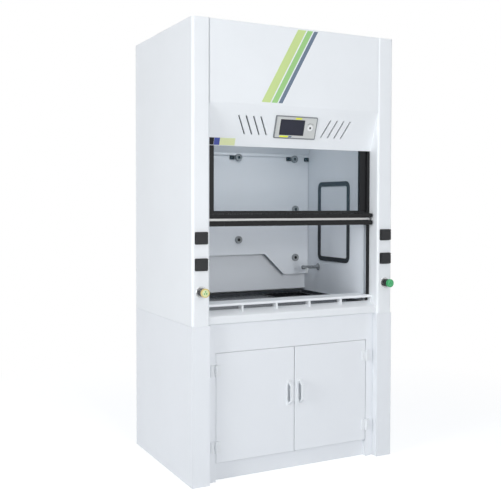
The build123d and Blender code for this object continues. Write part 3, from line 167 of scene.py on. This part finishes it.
def finish_of(name, colour, rough, spread=0.03, mottle=2.5, sweep=0.06, grain=900.0, depth=0.00004,
              edge=0.0, edge_light_share=1.06, stretch=(1, 1, 1), **shader):
    """A plastic, rubber or metal surface: colour mottling, roughness changes, fine relief, soft edges, and
    edges tinted lighter as a painted highlight, darker as painted shade where the share is below 1.
    """
    build = Nodes(name)
    wide = build.noise(mottle, detail=4.0)
    colours = build.ramp(wide, tint(colour, 1 - spread), tint(colour, 1 + spread))
    if edge > 0:
        soft = build.add("ShaderNodeBevel", samples=4)
        soft.inputs["Radius"].default_value = edge
        shape = build.add("ShaderNodeNewGeometry")
        dot = build.add("ShaderNodeVectorMath", operation="DOT_PRODUCT")
        build.link(soft.outputs["Normal"], dot.inputs[0])
        build.link(shape.outputs["Normal"], dot.inputs[1])
        # Painted edge light: near an edge the colour turns lighter (painted highlight) where the share is
        # above 1, darker (painted shade) where it is below 1
        painted_edge_light = build.remap(dot.outputs["Value"], 1.0, 0.0, start=0.8, end=0.995)
        colours = build.mix(painted_edge_light, colours, tint(colour, edge_light_share))
    build.link(colours, build.shader.inputs["Base Color"])
    streak = build.noise(mottle * 14, detail=5.0, stretch=stretch)
    build.link(build.remap(streak, rough - sweep, rough + sweep), build.shader.inputs["Roughness"])
    relief = build.noise(grain, detail=2.0, stretch=stretch)
    bump = build.add("ShaderNodeBump")
    bump.inputs["Strength"].default_value = 0.6
    bump.inputs["Distance"].default_value = depth
    build.link(relief, bump.inputs["Height"])
    if edge > 0:
        build.link(soft.outputs["Normal"], bump.inputs["Normal"])
    build.link(bump.outputs["Normal"], build.shader.inputs["Normal"])
    for key, value in shader.items():
        build.shader.inputs[key.replace("_", " ")].default_value = value
    return build


pp_sheet = finish_of("pp_sheet", linear("#E9ECEF"), 0.42, spread=0.012, edge=0.0016,
                     edge_light_share=1.08).material
pp_base = finish_of("pp_sheet_base", linear("#E6E9ED"), 0.42, spread=0.012, edge=0.0010,
                    edge_light_share=1.05).material
# Chamber liner: the same white plastic as the casing, tinted cooler and darker as painted shade of the
# enclosed chamber
pp_liner_painted_shade = finish_of("pp_liner_painted_shade", linear("#E3E8EE"), 0.36, spread=0.015, edge=0.0010).material
pp_moulded = finish_of("pp_moulded", linear("#E4E7EA"), 0.34, spread=0.01, edge=0.0006, grain=2400.0).material
worktop_mat = finish_of("worktop_slab", linear("#3A3E43"), 0.24, spread=0.05, edge=0.0015, mottle=5.0,
                        edge_light_share=1.3, depth=0.000008, Specular_IOR_Level=0.35).material
sink_mat = finish_of("sink_black", linear("#1C1E21"), 0.26, spread=0.08, edge=0.0012, mottle=9.0,
                     Specular_IOR_Level=0.3).material
metal_coat = finish_of("outlet_coat", linear("#8F9498"), 0.3, spread=0.05, mottle=12.0, edge=0.0004,
                       Metallic=0.5).material
knob_mat = finish_of("knob_grey", linear("#8E9396"), 0.36, spread=0.05, mottle=30.0, edge=0.0006).material
black_mat = finish_of("black_satin", linear("#17181A"), 0.42, spread=0.06, mottle=6.0, edge=0.0006,
                      edge_light_share=1.5, depth=0.00002, Specular_IOR_Level=0.25).material
gloss_mat = finish_of("black_gloss", linear("#101113"), 0.24, spread=0.06, mottle=6.0, edge=0.0006,
                      edge_light_share=1.3, grain=1500.0, depth=0.00001, Specular_IOR_Level=0.3).material
rubber_mat = finish_of("gasket_rubber", linear("#2C3136"), 0.62, spread=0.08, mottle=18.0, edge=0.0009,
                       grain=1800.0, depth=0.00008, edge_light_share=1.25, Specular_IOR_Level=0.25).material
strip_mat = finish_of("bright_strip", linear("#C9CACA"), 0.3, spread=0.04, mottle=3.0,
                      stretch=(0.02, 1, 1), Metallic=0.9).material
charcoal_mat = finish_of("charcoal", linear("#2C2D2F"), 0.5, spread=0.06, mottle=20.0, edge=0.0007,
                         edge_light_share=0.6, grain=2600.0, depth=0.00006, Specular_IOR_Level=0.25).material
yellow_mat = finish_of("cap_yellow", linear("#D8C070"), 0.3, spread=0.04, mottle=40.0, edge=0.0006).material
green_mat = finish_of("cap_green", linear("#35A060"), 0.28, spread=0.05, mottle=40.0, edge=0.0006).material
mint_mat = finish_of("cap_mint", linear("#58B87C"), 0.3, spread=0.04, mottle=40.0, edge=0.0004).material
satin_mat = finish_of("satin_metal", linear("#D3D5D6"), 0.3, spread=0.03, mottle=30.0, edge=0.0006,
                      edge_light_share=0.7, Metallic=0.7).material
steel_mat = finish_of("steel", linear("#A9ABAD"), 0.32, spread=0.06, mottle=30.0, edge=0.0004,
                      Metallic=1.0).material
iron_mat = finish_of("painted_iron", linear("#4E5154"), 0.55, spread=0.1, mottle=14.0, edge=0.0008,
                     grain=500.0, depth=0.0001).material
nylon_mat = finish_of("nylon", linear("#D9D8CF"), 0.45, spread=0.03, mottle=30.0, edge=0.0004).material
opal_mat = finish_of("lamp_opal", linear("#EEF0F0"), 0.3, spread=0.01, grain=3000.0).material
screen_mat = finish_of("screen", linear("#30323E"), 0.2, spread=0.05, mottle=8.0, sweep=0.02, depth=0.00001,
                       Specular_IOR_Level=0.2).material
lime_mat = finish_of("accent_lime", linear("#C6DA92"), 0.36, spread=0.015, mottle=6.0).material
leaf_mat = finish_of("accent_leaf", linear("#9CCB83"), 0.36, spread=0.015, mottle=6.0).material
slate_mat = finish_of("accent_slate", linear("#66778A"), 0.36, spread=0.02, mottle=6.0).material
blue_mat = finish_of("accent_blue", linear("#3C4C9C"), 0.36, spread=0.03, mottle=8.0).material
cream_mat = finish_of("accent_cream", linear("#DCE3B0"), 0.36, spread=0.02, mottle=8.0).material
bright_lime_mat = finish_of("accent_bright_lime", linear("#E6EE40"), 0.34, spread=0.02, mottle=8.0).material
key_mat = finish_of("panel_key", linear("#E9EAEA"), 0.32, spread=0.01, edge=0.0004).material
# Painted shade: dark plates behind the vent slots stand in for the shaded inside of the casing
vent_shade_mat = finish_of("painted_recess_shade", linear("#3A4048"), 0.6, spread=0.05, mottle=12.0).material


def bezel_material():
    """Silver face of the control unit with a darker rim, told apart by place on the slope."""
    build = finish_of("bezel", linear("#C9CBCA"), 0.36, spread=0.02, mottle=9.0, edge=0.0005)
    place = build.add("ShaderNodeTexCoord")
    apart = build.add("ShaderNodeSeparateXYZ")
    build.link(place.outputs["Object"], apart.inputs["Vector"])
    across = build.math("ABSOLUTE", apart.outputs["X"])
    up = build.math("ABSOLUTE", build.math("SUBTRACT", apart.outputs["Z"], SLOPE_MIDDLE.z - 0.0015))
    side = build.math("GREATER_THAN", across, 0.1243)
    ends = build.math("GREATER_THAN", up, 0.0537)
    rim = build.math("MAXIMUM", side, ends)
    old = build.shader.inputs["Base Color"].links[0].from_socket
    build.link(build.mix(rim, old, linear("#7A7E82")), build.shader.inputs["Base Color"])
    return build.material


def glass_material():
    """Clear pane: mostly see-through, with a faint cool tint and gloss that grows at a low angle."""
    build = finish_of("clear_glass", linear("#3C6274"), 0.05, spread=0.02, sweep=0.01, grain=5.0,
                      depth=0.0002)
    edge_on = build.add("ShaderNodeLayerWeight")
    edge_on.inputs["Blend"].default_value = 0.25
    build.link(build.remap(edge_on.outputs["Fresnel"], 0.11, 0.6, start=0.0, end=1.0),
               build.shader.inputs["Alpha"])
    return build.material


def track_material():
    """Black front strip of the sash tracks with the white sheet's colour behind it, by depth."""
    build = finish_of("track", linear("#17181A"), 0.42, spread=0.06, mottle=6.0, edge=0.0006, edge_light_share=1.5,
                      Specular_IOR_Level=0.25)
    place = build.add("ShaderNodeTexCoord")
    apart = build.add("ShaderNodeSeparateXYZ")
    build.link(place.outputs["Object"], apart.inputs["Vector"])
    behind = build.math("GREATER_THAN", apart.outputs["Y"], POST_FRONT + 0.092)
    old = build.shader.inputs["Base Color"].links[0].from_socket
    build.link(build.mix(behind, old, linear("#D9DEE4")), build.shader.inputs["Base Color"])
    return build.material


bezel_mat = bezel_material()
track_mat = track_material()
glass_mat = glass_material()

node_materials = {
    pp_sheet: ("upper_side_left upper_side_right back_panel_upper roof_panel fascia sill exhaust_collar "
               "airfoil"),
    pp_base: ("base_side_left base_side_right back_panel_lower cabinet_carcass cabinet_rails door_left "
              "door_right"),
    pp_liner_painted_shade: "chamber_walls rear_liner chamber_ceiling main_baffle lower_baffle top_deflector access_panels",
    pp_moulded: ("airfoil_spacers hinge_frames hinge_leaves_left hinge_leaves_right door_handle_left "
                 "door_handle_right"),
    satin_mat: "service_valves",
    worktop_mat: "worktop",
    sink_mat: "sink_bowl sink_trap",
    metal_coat: "service_outlets",
    knob_mat: "baffle_knobs",
    black_mat: "slot_spacers sash_frame",
    track_mat: "sash_tracks",
    gloss_mat: "sash_handle valve_knob_left valve_knob_right",
    rubber_mat: "access_gaskets",
    strip_mat: "handle_strip",
    charcoal_mat: "socket_bodies",
    yellow_mat: "valve_cap_left",
    green_mat: "valve_cap_right",
    steel_mat: "pulley_brackets sash_cables",
    iron_mat: "counterweight_left counterweight_right",
    nylon_mat: "pulley_left pulley_right sash_glides",
    opal_mat: "chamber_lamp",
    screen_mat: "display_screen",
    bezel_mat: "control_unit",
    glass_mat: "sash_glass",
}
for material, names in node_materials.items():
    for name in names.split():
        nodes[name].data.materials.clear()
        nodes[name].data.materials.append(material)
for name in nodes:
    if name.startswith("socket_lid"):
        nodes[name].data.materials.clear()
        nodes[name].data.materials.append(charcoal_mat)


# Mesh tools

SHARP = math.radians(38)


def new_piece(name, mesh, material, body, replaces=()):
    """Turn a bmesh into a piece that rides on a body."""
    bmesh.ops.recalc_face_normals(mesh, faces=mesh.faces)
    for face in mesh.faces:
        face.smooth = True
    for edge in mesh.edges:
        if len(edge.link_faces) == 2 and edge.calc_face_angle(0) > SHARP:
            edge.smooth = False
    data = bpy.data.meshes.new(name)
    mesh.to_mesh(data)
    mesh.free()
    data.materials.append(material)
    piece = bpy.data.objects.new(name, data)
    scene.collection.objects.link(piece)
    if body:
        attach(piece, body)
    if replaces:
        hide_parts(*replaces)
    return piece


def lathe(mesh, profile, origin, axis, steps=32, shape=None):
    """Turn a profile of (radius, distance along the axis) pairs, in mm, about an axis.
    shape(angle, radius) gives the radius at an angle where the outline isn't round."""
    axis = Vector(axis).normalized()
    side = axis.orthogonal().normalized()
    other = axis.cross(side)
    rings = []
    for radius, reach in profile:
        middle = origin + axis * (reach / 1000)
        if radius <= 0:
            rings.append([mesh.verts.new(middle)])
            continue
        ring = []
        for step in range(steps):
            angle = 2 * math.pi * step / steps
            wide = (shape(angle, radius) if shape else radius) / 1000
            spot = middle + side * (wide * math.cos(angle)) + other * (wide * math.sin(angle))
            ring.append(mesh.verts.new(spot))
        rings.append(ring)
    for low, high in zip(rings, rings[1:]):
        for step in range(steps):
            ahead = (step + 1) % steps
            if len(low) == 1 and len(high) > 1:
                mesh.faces.new((low[0], high[step], high[ahead]))
            elif len(high) == 1 and len(low) > 1:
                mesh.faces.new((low[step], low[ahead], high[0]))
            elif len(low) > 1:
                mesh.faces.new((low[step], low[ahead], high[ahead], high[step]))


def rounded(width, height, radius, steps=6):
    """Corner points of a rounded rectangle about its middle."""
    points = []
    for turn_index, (sx, sy) in enumerate(((1, 1), (-1, 1), (-1, -1), (1, -1))):
        for step in range(steps + 1):
            angle = math.pi / 2 * (turn_index + step / steps)
            points.append((sx * (width / 2 - radius) + radius * math.cos(angle),
                           sy * (height / 2 - radius) + radius * math.sin(angle)))
    return points


def plate(mesh, points, place, low, high, bevel=0.0):
    """Flat plate with a stepped-in top edge; place(u, v, w) gives a point in metres."""
    count = len(points)
    middle_u = sum(point[0] for point in points) / count
    middle_v = sum(point[1] for point in points) / count
    layers = [(low, 0.0), (high - bevel, 0.0), (high, bevel)] if bevel else [(low, 0.0), (high, 0.0)]
    rings = []
    for level, inset in layers:
        ring = []
        for u, v in points:
            away = math.hypot(u - middle_u, v - middle_v)
            share = (away - inset * 1.3) / away if away else 1.0
            spot = place(middle_u + (u - middle_u) * share, middle_v + (v - middle_v) * share, level)
            ring.append(mesh.verts.new(spot))
        rings.append(ring)
    mesh.faces.new(list(reversed(rings[0])))
    mesh.faces.new(rings[-1])
    for below, above in zip(rings, rings[1:]):
        for index in range(count):
            ahead = (index + 1) % count
            mesh.faces.new((below[index], below[ahead], above[ahead], above[index]))


def tube(mesh, points, radius, sides=10):
    """Round bar along points in metres, radius in mm."""
    rings = []
    for index, point in enumerate(points):
        before = points[max(index - 1, 0)]
        after = points[min(index + 1, len(points) - 1)]
        along = (after - before).normalized()
        side = Vector((0, 1, 0)) if abs(along.y) < 0.9 else Vector((1, 0, 0))
        side = (side - along * side.dot(along)).normalized()
        other = along.cross(side)
        rings.append([
            mesh.verts.new(point + (side * math.cos(2 * math.pi * step / sides)
                                    + other * math.sin(2 * math.pi * step / sides)) * (radius / 1000))
            for step in range(sides)
        ])
    mesh.faces.new(list(reversed(rings[0])))
    mesh.faces.new(rings[-1])
    for low, high in zip(rings, rings[1:]):
        for step in range(sides):
            ahead = (step + 1) % sides
            mesh.faces.new((low[step], low[ahead], high[ahead], high[step]))


def screw(mesh, origin, axis, radius=4.0, height=1.6):
    """Pan head with a hexagon socket."""
    def socket(angle, reach):
        if reach > radius * 0.5:
            return reach
        within = (angle + math.pi / 6) % (math.pi / 3) - math.pi / 6
        return reach * 0.92 / math.cos(within)
    profile = [(radius, 0), (radius, height * 0.45), (radius * 0.9, height * 0.8), (radius * 0.7, height),
               (radius * 0.48, height), (radius * 0.46, height * 0.3), (0, height * 0.3)]
    lathe(mesh, profile, origin, axis, steps=24, shape=socket)


# Thin trim lies this far off the face that carries it
LIFT = 0.02
TRIM = 0.3
FASCIA_FRONT = 4


# Fascia: three slanted colour bands, each with its own width, and three plain colour fields

def fascia_place(u, v, w):
    return at(u, FASCIA_FRONT - w, v)


BAND_LOW, BAND_HIGH, BAND_LEAN = 1992, 2392, math.radians(29)
shift = (BAND_HIGH - BAND_LOW) * math.tan(BAND_LEAN)
for name, material, left, wide in (
    ("band_lime", lime_mat, -226, 52), ("band_leaf", leaf_mat, -166, 34), ("band_slate", slate_mat, -124, 24),
):
    mesh = bmesh.new()
    right = left + wide
    points = [(left, BAND_LOW), (right, BAND_LOW), (right + shift, BAND_HIGH), (left + shift, BAND_HIGH)]
    plate(mesh, points, fascia_place, LIFT, TRIM)
    new_piece(name, mesh, material, "casing")

FIELD_LOW, FIELD_HIGH = -113, -74
for name, material, left, right in (
    ("field_dark", black_mat, -508, -474), ("field_blue", blue_mat, -473, -441),
    ("field_cream", cream_mat, -440, -352),
):
    mesh = bmesh.new()
    corners = [(left, FIELD_LOW), (right, FIELD_LOW), (right, FIELD_HIGH), (left, FIELD_HIGH)]
    plate(mesh, corners, on_slope, LIFT, TRIM)
    new_piece(name, mesh, material, "casing")

# Dark plates behind each group of vent slots: painted shade for the inside of the casing seen through them
SIDES = ((-1, "left"), (1, "right"))
SLOT_GROUP_X = 261
for side, name in SIDES:
    mesh = bmesh.new()
    plate(mesh, [(side * SLOT_GROUP_X + u, v) for u, v in rounded(190, 122, 4)], on_slope, -9.5, -8.05, 0.4)
    new_piece(f"vent_painted_shade_plate_{name}", mesh, vent_shade_mat, "casing")

# Control unit: window border, two accents, a round key with its dot and an arc of small lamps
PANEL = 5.02
SCREEN_X = -23
mesh = bmesh.new()
outer = rounded(152, 86, 3)
inner = rounded(146, 80, 1.5)
rings = [[mesh.verts.new(on_slope(u + SCREEN_X, v, w)) for u, v in ring] for ring, w in
         ((outer, PANEL), (outer, 5.5), (inner, 5.5), (inner, PANEL))]
for low_ring, high_ring in zip(rings, rings[1:] + rings[:1]):
    for index in range(len(outer)):
        ahead = (index + 1) % len(outer)
        mesh.faces.new((low_ring[index], low_ring[ahead], high_ring[ahead], high_ring[index]))
new_piece("screen_border", mesh, charcoal_mat, "casing")

for name, material, corners in (
    ("accent_upper", bright_lime_mat, [(-10, 45.5), (28, 45.5), (33, 54.5), (-5, 54.5)]),
    ("accent_lower", bright_lime_mat, [(-96, -55), (-44, -55), (-39, -46), (-91, -46)]),
    ("accent_tail", slate_mat, [(-41, -55), (-22, -55), (-17, -46), (-36, -46)]),
):
    mesh = bmesh.new()
    plate(mesh, corners, on_slope, PANEL, 5.4)
    new_piece(name, mesh, material, "casing")

mesh = bmesh.new()
KEY = on_slope(90, 2, 0)
lathe(mesh, [(17, PANEL), (17, 5.9), (16.2, 6.3), (14.5, 6.3), (14, 5.8), (0, 6.1)], KEY, SLOPE_OUT, 48)
new_piece("panel_key", mesh, key_mat, "casing")
mesh = bmesh.new()
lathe(mesh, [(6.2, 5.9), (6.2, 6.5), (5.4, 6.8), (0, 6.9)], KEY, SLOPE_OUT, 32)
for degrees in (50, 70, 90, 110, 130):
    angle = math.radians(degrees)
    lathe(mesh, [(2.0, PANEL), (2.0, 5.6), (0, 5.9)],
          on_slope(90 + 24 * math.cos(angle), 2 + 24 * math.sin(angle), 0), SLOPE_OUT, 12)
new_piece("panel_dots", mesh, charcoal_mat, "casing")

# Baffle knobs: fluted rim, dished face and a black hub
BAFFLE_FRONT = 737
knob_places = [(x, z) for x in (-410, 410) for z in (1110, 1422)] + [(0, 1232)]
knob_places += [(x, 1745) for x in (-403, 0, 403)]


def fluted(angle, radius):
    return radius - (0.7 * (0.5 + 0.5 * math.cos(18 * angle)) if radius > 22 else 0.0)


mesh = bmesh.new()
hub = bmesh.new()
for x, z in knob_places:
    face = at(x, BAFFLE_FRONT, z)
    lathe(mesh, [(4, 0), (23, 0), (24, 1.5), (24, 11), (22.8, 13.2), (20.5, 14), (17.5, 13.8), (15.5, 12.4),
                 (9.5, 11.8), (0, 11.8)], face, (0, -1, 0), 72, fluted)
    lathe(hub, [(9.0, 11.0), (9.0, 12.8), (8.0, 13.6), (5.0, 14.0), (0, 14.0)], face, (0, -1, 0), 32)
new_piece("baffle_knob_set", mesh, knob_mat, "casing", ("baffle_knobs",))
new_piece("baffle_knob_hubs", hub, black_mat, "casing")

# Weld beads along the chamber's inner corners
mesh = bmesh.new()
for side in (-1, 1):
    x = side * 508.6
    rear = 844.6
    for start, end in (
        (at(x, rear, 906), at(x, rear, 2098)), (at(x, 122, 2098.6), at(x, rear, 2098.6)),
        (at(x, 122, 894.4), at(x, 780, 894.4)),
    ):
        count = max(2, int((end - start).length / 0.012))
        tube(mesh, [start.lerp(end, step / count) for step in range(count + 1)], 2.4, 8)
tube(mesh, [at(-505 + 1010 * step / 84, 844.6, 2098.6) for step in range(85)], 2.4, 8)
new_piece("weld_beads", mesh, pp_liner_painted_shade, "casing")

# Sink: strainer over the waste
mesh = bmesh.new()
waste = at(305, 652.5, 696.2)
lathe(mesh, [(31, 0), (31, 0.8), (29, 1.8), (20, 1.4), (18, 0.2), (9, 0.2), (8, 0.9), (0, 1.0)], waste,
      (0, 0, 1), 48)
for index in range(8):
    angle = index * math.pi / 4
    lathe(mesh, [(2.6, 0.2), (2.6, 0.7), (0, 0.7)],
          waste + Vector((13.5 * math.cos(angle), 13.5 * math.sin(angle), 0)) / 1000, (0, 0, 1), 12)
new_piece("sink_strainer", mesh, steel_mat, "casing")

# Water tap: flange, tube with rings, cap and a white nozzle; gas nozzle opposite
OUTLET_DEPTH, OUTLET_Z, CHAMBER_WALL, SPOUT_X = 610, 1055, 510, 425
mesh = bmesh.new()
flange = [(0, -28), (8, -28), (8, 0), (21, 0), (22, 1), (22, 3.5), (20, 6), (12.5, 7), (10, 9)]
tap = [(10, 22), (11.2, 23), (11.2, 27), (10, 28), (10, 104), (12.5, 106), (12.5, 118), (11.5, 121), (8, 123),
       (0, 123)]
gas = [(10, 36), (12.5, 38), (12.5, 50), (11, 53), (7, 55), (0, 55)]
lathe(mesh, flange + tap, at(CHAMBER_WALL, OUTLET_DEPTH, OUTLET_Z), (-1, 0, 0), 40)
lathe(mesh, flange + gas, at(-CHAMBER_WALL, OUTLET_DEPTH, OUTLET_Z), (1, 0, 0), 40)
new_piece("outlet_tubes", mesh, metal_coat, "casing", ("service_outlets",))
mesh = bmesh.new()
lathe(mesh, [(0, 4), (9.5, 4), (9.8, 10), (9.5, 17), (8, 18), (5.2, 18.4), (6.2, 21), (5, 28), (6.2, 29),
             (4.2, 37.5), (3, 38), (2.6, 34), (0, 34)],
      at(SPOUT_X, OUTLET_DEPTH, OUTLET_Z), (0, 0, -1), 32)
new_piece("tap_nozzle", mesh, pp_moulded, "casing")

# Valve caps: a coloured rim with a paler inlay and three plain dots
POST_MIDDLE, VALVE_Z, CAP_FACE = 575, 1005, -55.5
for side, name, rim_slot in ((-1, "left", "cap_yellow"), (1, "right", "cap_green")):
    middle = at(side * POST_MIDDLE, CAP_FACE, VALVE_Z)
    mesh = bmesh.new()
    lathe(mesh, [(0, -0.3), (18.8, -0.3), (18.8, 0.5), (17.4, 1.0), (0, 1.2)], middle, (0, -1, 0), 48)
    new_piece(f"cap_inlay_{name}", mesh, cream_mat if side < 0 else mint_mat, f"valve_{name}")
    mesh = bmesh.new()
    for index in range(3):
        angle = math.pi / 2 + index * 2 * math.pi / 3
        spot = middle + Vector((6.6 * math.cos(angle), 0, 6.6 * math.sin(angle))) / 1000
        lathe(mesh, [(3.8, 0.6), (3.8, 1.5), (0, 1.8)], spot, (0, -1, 0), 20)
    new_piece(f"cap_dots_{name}", mesh, green_mat, f"valve_{name}")

# Socket lids: a raised field and a finger rib on each flip lid
LID_FACE, SOCKET_FACE, SCREW_DROP = -17, -6, 28
for side, name in SIDES:
    for level, z in (("lower", 1145), ("upper", 1280)):
        def lid_place(u, v, w, x=side * POST_MIDDLE, z=z):
            return at(x + u, LID_FACE - w, z + v)
        mesh = bmesh.new()
        plate(mesh, [(u, v - 2) for u, v in rounded(48, 38, 3)], lid_place, -0.4, 0.7, 0.5)
        plate(mesh, [(u, v - 26.5) for u, v in rounded(26, 4, 1.9)], lid_place, -0.4, 1.3, 0.6)
        new_piece(f"lid_field_{name}_{level}", mesh, charcoal_mat, f"lid_{name}_{level}")
        mesh = bmesh.new()
        for u in (-28, 28):
            screw(mesh, at(side * POST_MIDDLE + u, SOCKET_FACE, z - SCREW_DROP), (0, -1, 0), 2.2, 0.9)
        new_piece(f"socket_screws_{name}_{level}", mesh, charcoal_mat, "casing")

# Door hinges: screws on both leaves
HINGE_X, LEAF_FRONT, LEAF_MIDDLE = 476, 32, 18.5
HINGE_HEIGHTS = (184, 585)
for side, name in SIDES:
    moving = bmesh.new()
    fixed = bmesh.new()
    for middle in HINGE_HEIGHTS:
        for lift in (-21, 0, 21):
            screw(moving, at(side * (HINGE_X - LEAF_MIDDLE), LEAF_FRONT, middle + lift), (0, -1, 0), 3.4, 1.3)
            screw(fixed, at(side * (HINGE_X + LEAF_MIDDLE), LEAF_FRONT, middle + lift), (0, -1, 0), 3.4, 1.3)
    new_piece(f"hinge_screws_{name}", moving, pp_moulded, f"door_{name}")
    new_piece(f"hinge_frame_screws_{name}", fixed, pp_moulded, "casing")

# Cables: a stretch on the sash side, an arc over the pulley, a stretch on the weight side
LANE_DEPTH, PULLEY_X, PULLEY_Z, TURN = 99, 533, 2350, 30
SASH_EYE, WEIGHT_EYE = 2204, 1862


def strand(mesh, points):
    tube(mesh, points, 1.5, 8)


for side, name in SIDES:
    lane, drop = side * (PULLEY_X - TURN), side * (PULLEY_X + TURN)
    mesh = bmesh.new()
    strand(mesh, [at(lane, LANE_DEPTH, PULLEY_Z - step * (PULLEY_Z - SASH_EYE) / 10) for step in range(11)])
    sash_side = new_piece(f"cable_sash_{name}", mesh, steel_mat, None, ("sash_cables",))
    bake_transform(sash_side)
    mesh = bmesh.new()
    strand(mesh, [at(side * PULLEY_X - side * TURN * math.cos(math.pi * step / 24), LANE_DEPTH,
                     PULLEY_Z + TURN * math.sin(math.pi * step / 24)) for step in range(25)])
    new_piece(f"cable_arc_{name}", mesh, steel_mat, "casing")
    mesh = bmesh.new()
    strand(mesh, [at(drop, LANE_DEPTH, PULLEY_Z - step * (PULLEY_Z - WEIGHT_EYE) / 10) for step in range(11)])
    weight_side = new_piece(f"cable_weight_{name}", mesh, steel_mat, None)
    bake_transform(weight_side)

# Back panels and roof: rows of screws, and bolts round the collar flange
CASING_DEPTH, COLLAR_DEPTH, FLANGE = 860, 705, 135
mesh = bmesh.new()
for z in (60, 240, 420, 600, 780, 880, 1170, 1460, 1750, 2040, 2330):
    for x in (-595, 0, 595):
        screw(mesh, at(x, CASING_DEPTH, z), (0, 1, 0), 6.0, 2.4)
for index in range(8):
    angle = (index + 0.5) * math.pi / 4
    bolt = at(FLANGE * math.cos(angle), COLLAR_DEPTH + FLANGE * math.sin(angle), 2405)
    screw(mesh, bolt, (0, 0, 1), 5.0, 2.6)
new_piece("casing_screws", mesh, pp_moulded, "casing")

# Floor and backdrop
mesh = bmesh.new()
bmesh.ops.create_grid(mesh, x_segments=2, y_segments=2, size=30)
floor_data = bpy.data.meshes.new("floor")
mesh.to_mesh(floor_data)
mesh.free()
floor = bpy.data.objects.new("floor", floor_data)
scene.collection.objects.link(floor)
floor.location.z = -0.0005
build = Nodes("floor_pale")
ray = build.add("ShaderNodeLightPath")
seen = build.math("MAXIMUM", ray.outputs["Is Camera Ray"],
                  build.math("MAXIMUM", ray.outputs["Is Glossy Ray"], ray.outputs["Is Transmission Ray"]))
build.put(build.shader, Roughness=0.8)
build.shader.inputs["Specular IOR Level"].default_value = 0.0
place = build.add("ShaderNodeTexCoord")
reach = build.add("ShaderNodeVectorMath", operation="LENGTH")
build.link(place.outputs["Object"], reach.inputs[0])
far = build.remap(reach.outputs["Value"], 0.0, 1.0, start=1.4, end=3.0)
shown = build.mix(far, linear("#B4B6B8"), (0.0, 0.0, 0.0, 1.0))
build.link(build.mix(seen, linear("#DDDFE1"), shown), build.shader.inputs["Base Color"])
build.shader.inputs["Emission Color"].default_value = (1, 1, 1, 1)
glow = build.remap(far, 0.72, 1.0, start=0.0, end=1.0)
build.link(build.math("MULTIPLY", seen, glow), build.shader.inputs["Emission Strength"])
floor_data.materials.append(build.material)

# Light: a soft even room, large lamps in front and to the left, and the chamber's own lamp
world = bpy.data.worlds.new("studio")
scene.world = world
world.use_nodes = True
tree = world.node_tree
background = tree.nodes["Background"]
path = tree.nodes.new("ShaderNodeLightPath")
either = tree.nodes.new("ShaderNodeMath")
either.operation = "MAXIMUM"
tree.links.new(path.outputs["Is Glossy Ray"], either.inputs[0])
tree.links.new(path.outputs["Is Transmission Ray"], either.inputs[1])
shown = tree.nodes.new("ShaderNodeMath")
shown.operation = "MAXIMUM"
tree.links.new(path.outputs["Is Camera Ray"], shown.inputs[0])
tree.links.new(either.outputs[0], shown.inputs[1])
choose = tree.nodes.new("ShaderNodeMix")
choose.data_type = "RGBA"
choose.inputs[6].default_value = (0.31, 0.325, 0.345, 1)
choose.inputs[7].default_value = (1, 1, 1, 1)
tree.links.new(shown.outputs[0], choose.inputs["Factor"])
tree.links.new(choose.outputs[2], background.inputs["Color"])
background.inputs["Strength"].default_value = 1.0


def area(name, place, target, size, power):
    data = bpy.data.lights.new(name, "AREA")
    data.shape = "DISK"
    data.size = size
    data.energy = power
    lamp = bpy.data.objects.new(name, data)
    scene.collection.objects.link(lamp)
    lamp.location = place
    lamp.rotation_euler = (Vector(target) - Vector(place)).to_track_quat("-Z", "Y").to_euler()


for name, place, target, size, power in (
    ("front", (-0.4, -6.5, 1.2), (0, 0, 1.0), 2.6, 50),
    ("side", (-6.3, -1.8, 1.9), (0, 0, 1.1), 2.4, 195),
    ("above", (-0.4, -6.2, 2.5), (0, 0, 1.1), 1.8, 102),
    ("top", (0, -2.6, 6.0), (0, 0, 1.0), 2.4, 26),
    ("chamber", (0, -0.07, 2.055), (0, -0.02, 1.0), 0.5, 2.2),
    ("behind", (1.5, 6.0, 2.4), (0, 0, 1.4), 3.0, 90),
):
    area(name, place, target, size, power)

scene.view_settings.view_transform = "Standard"
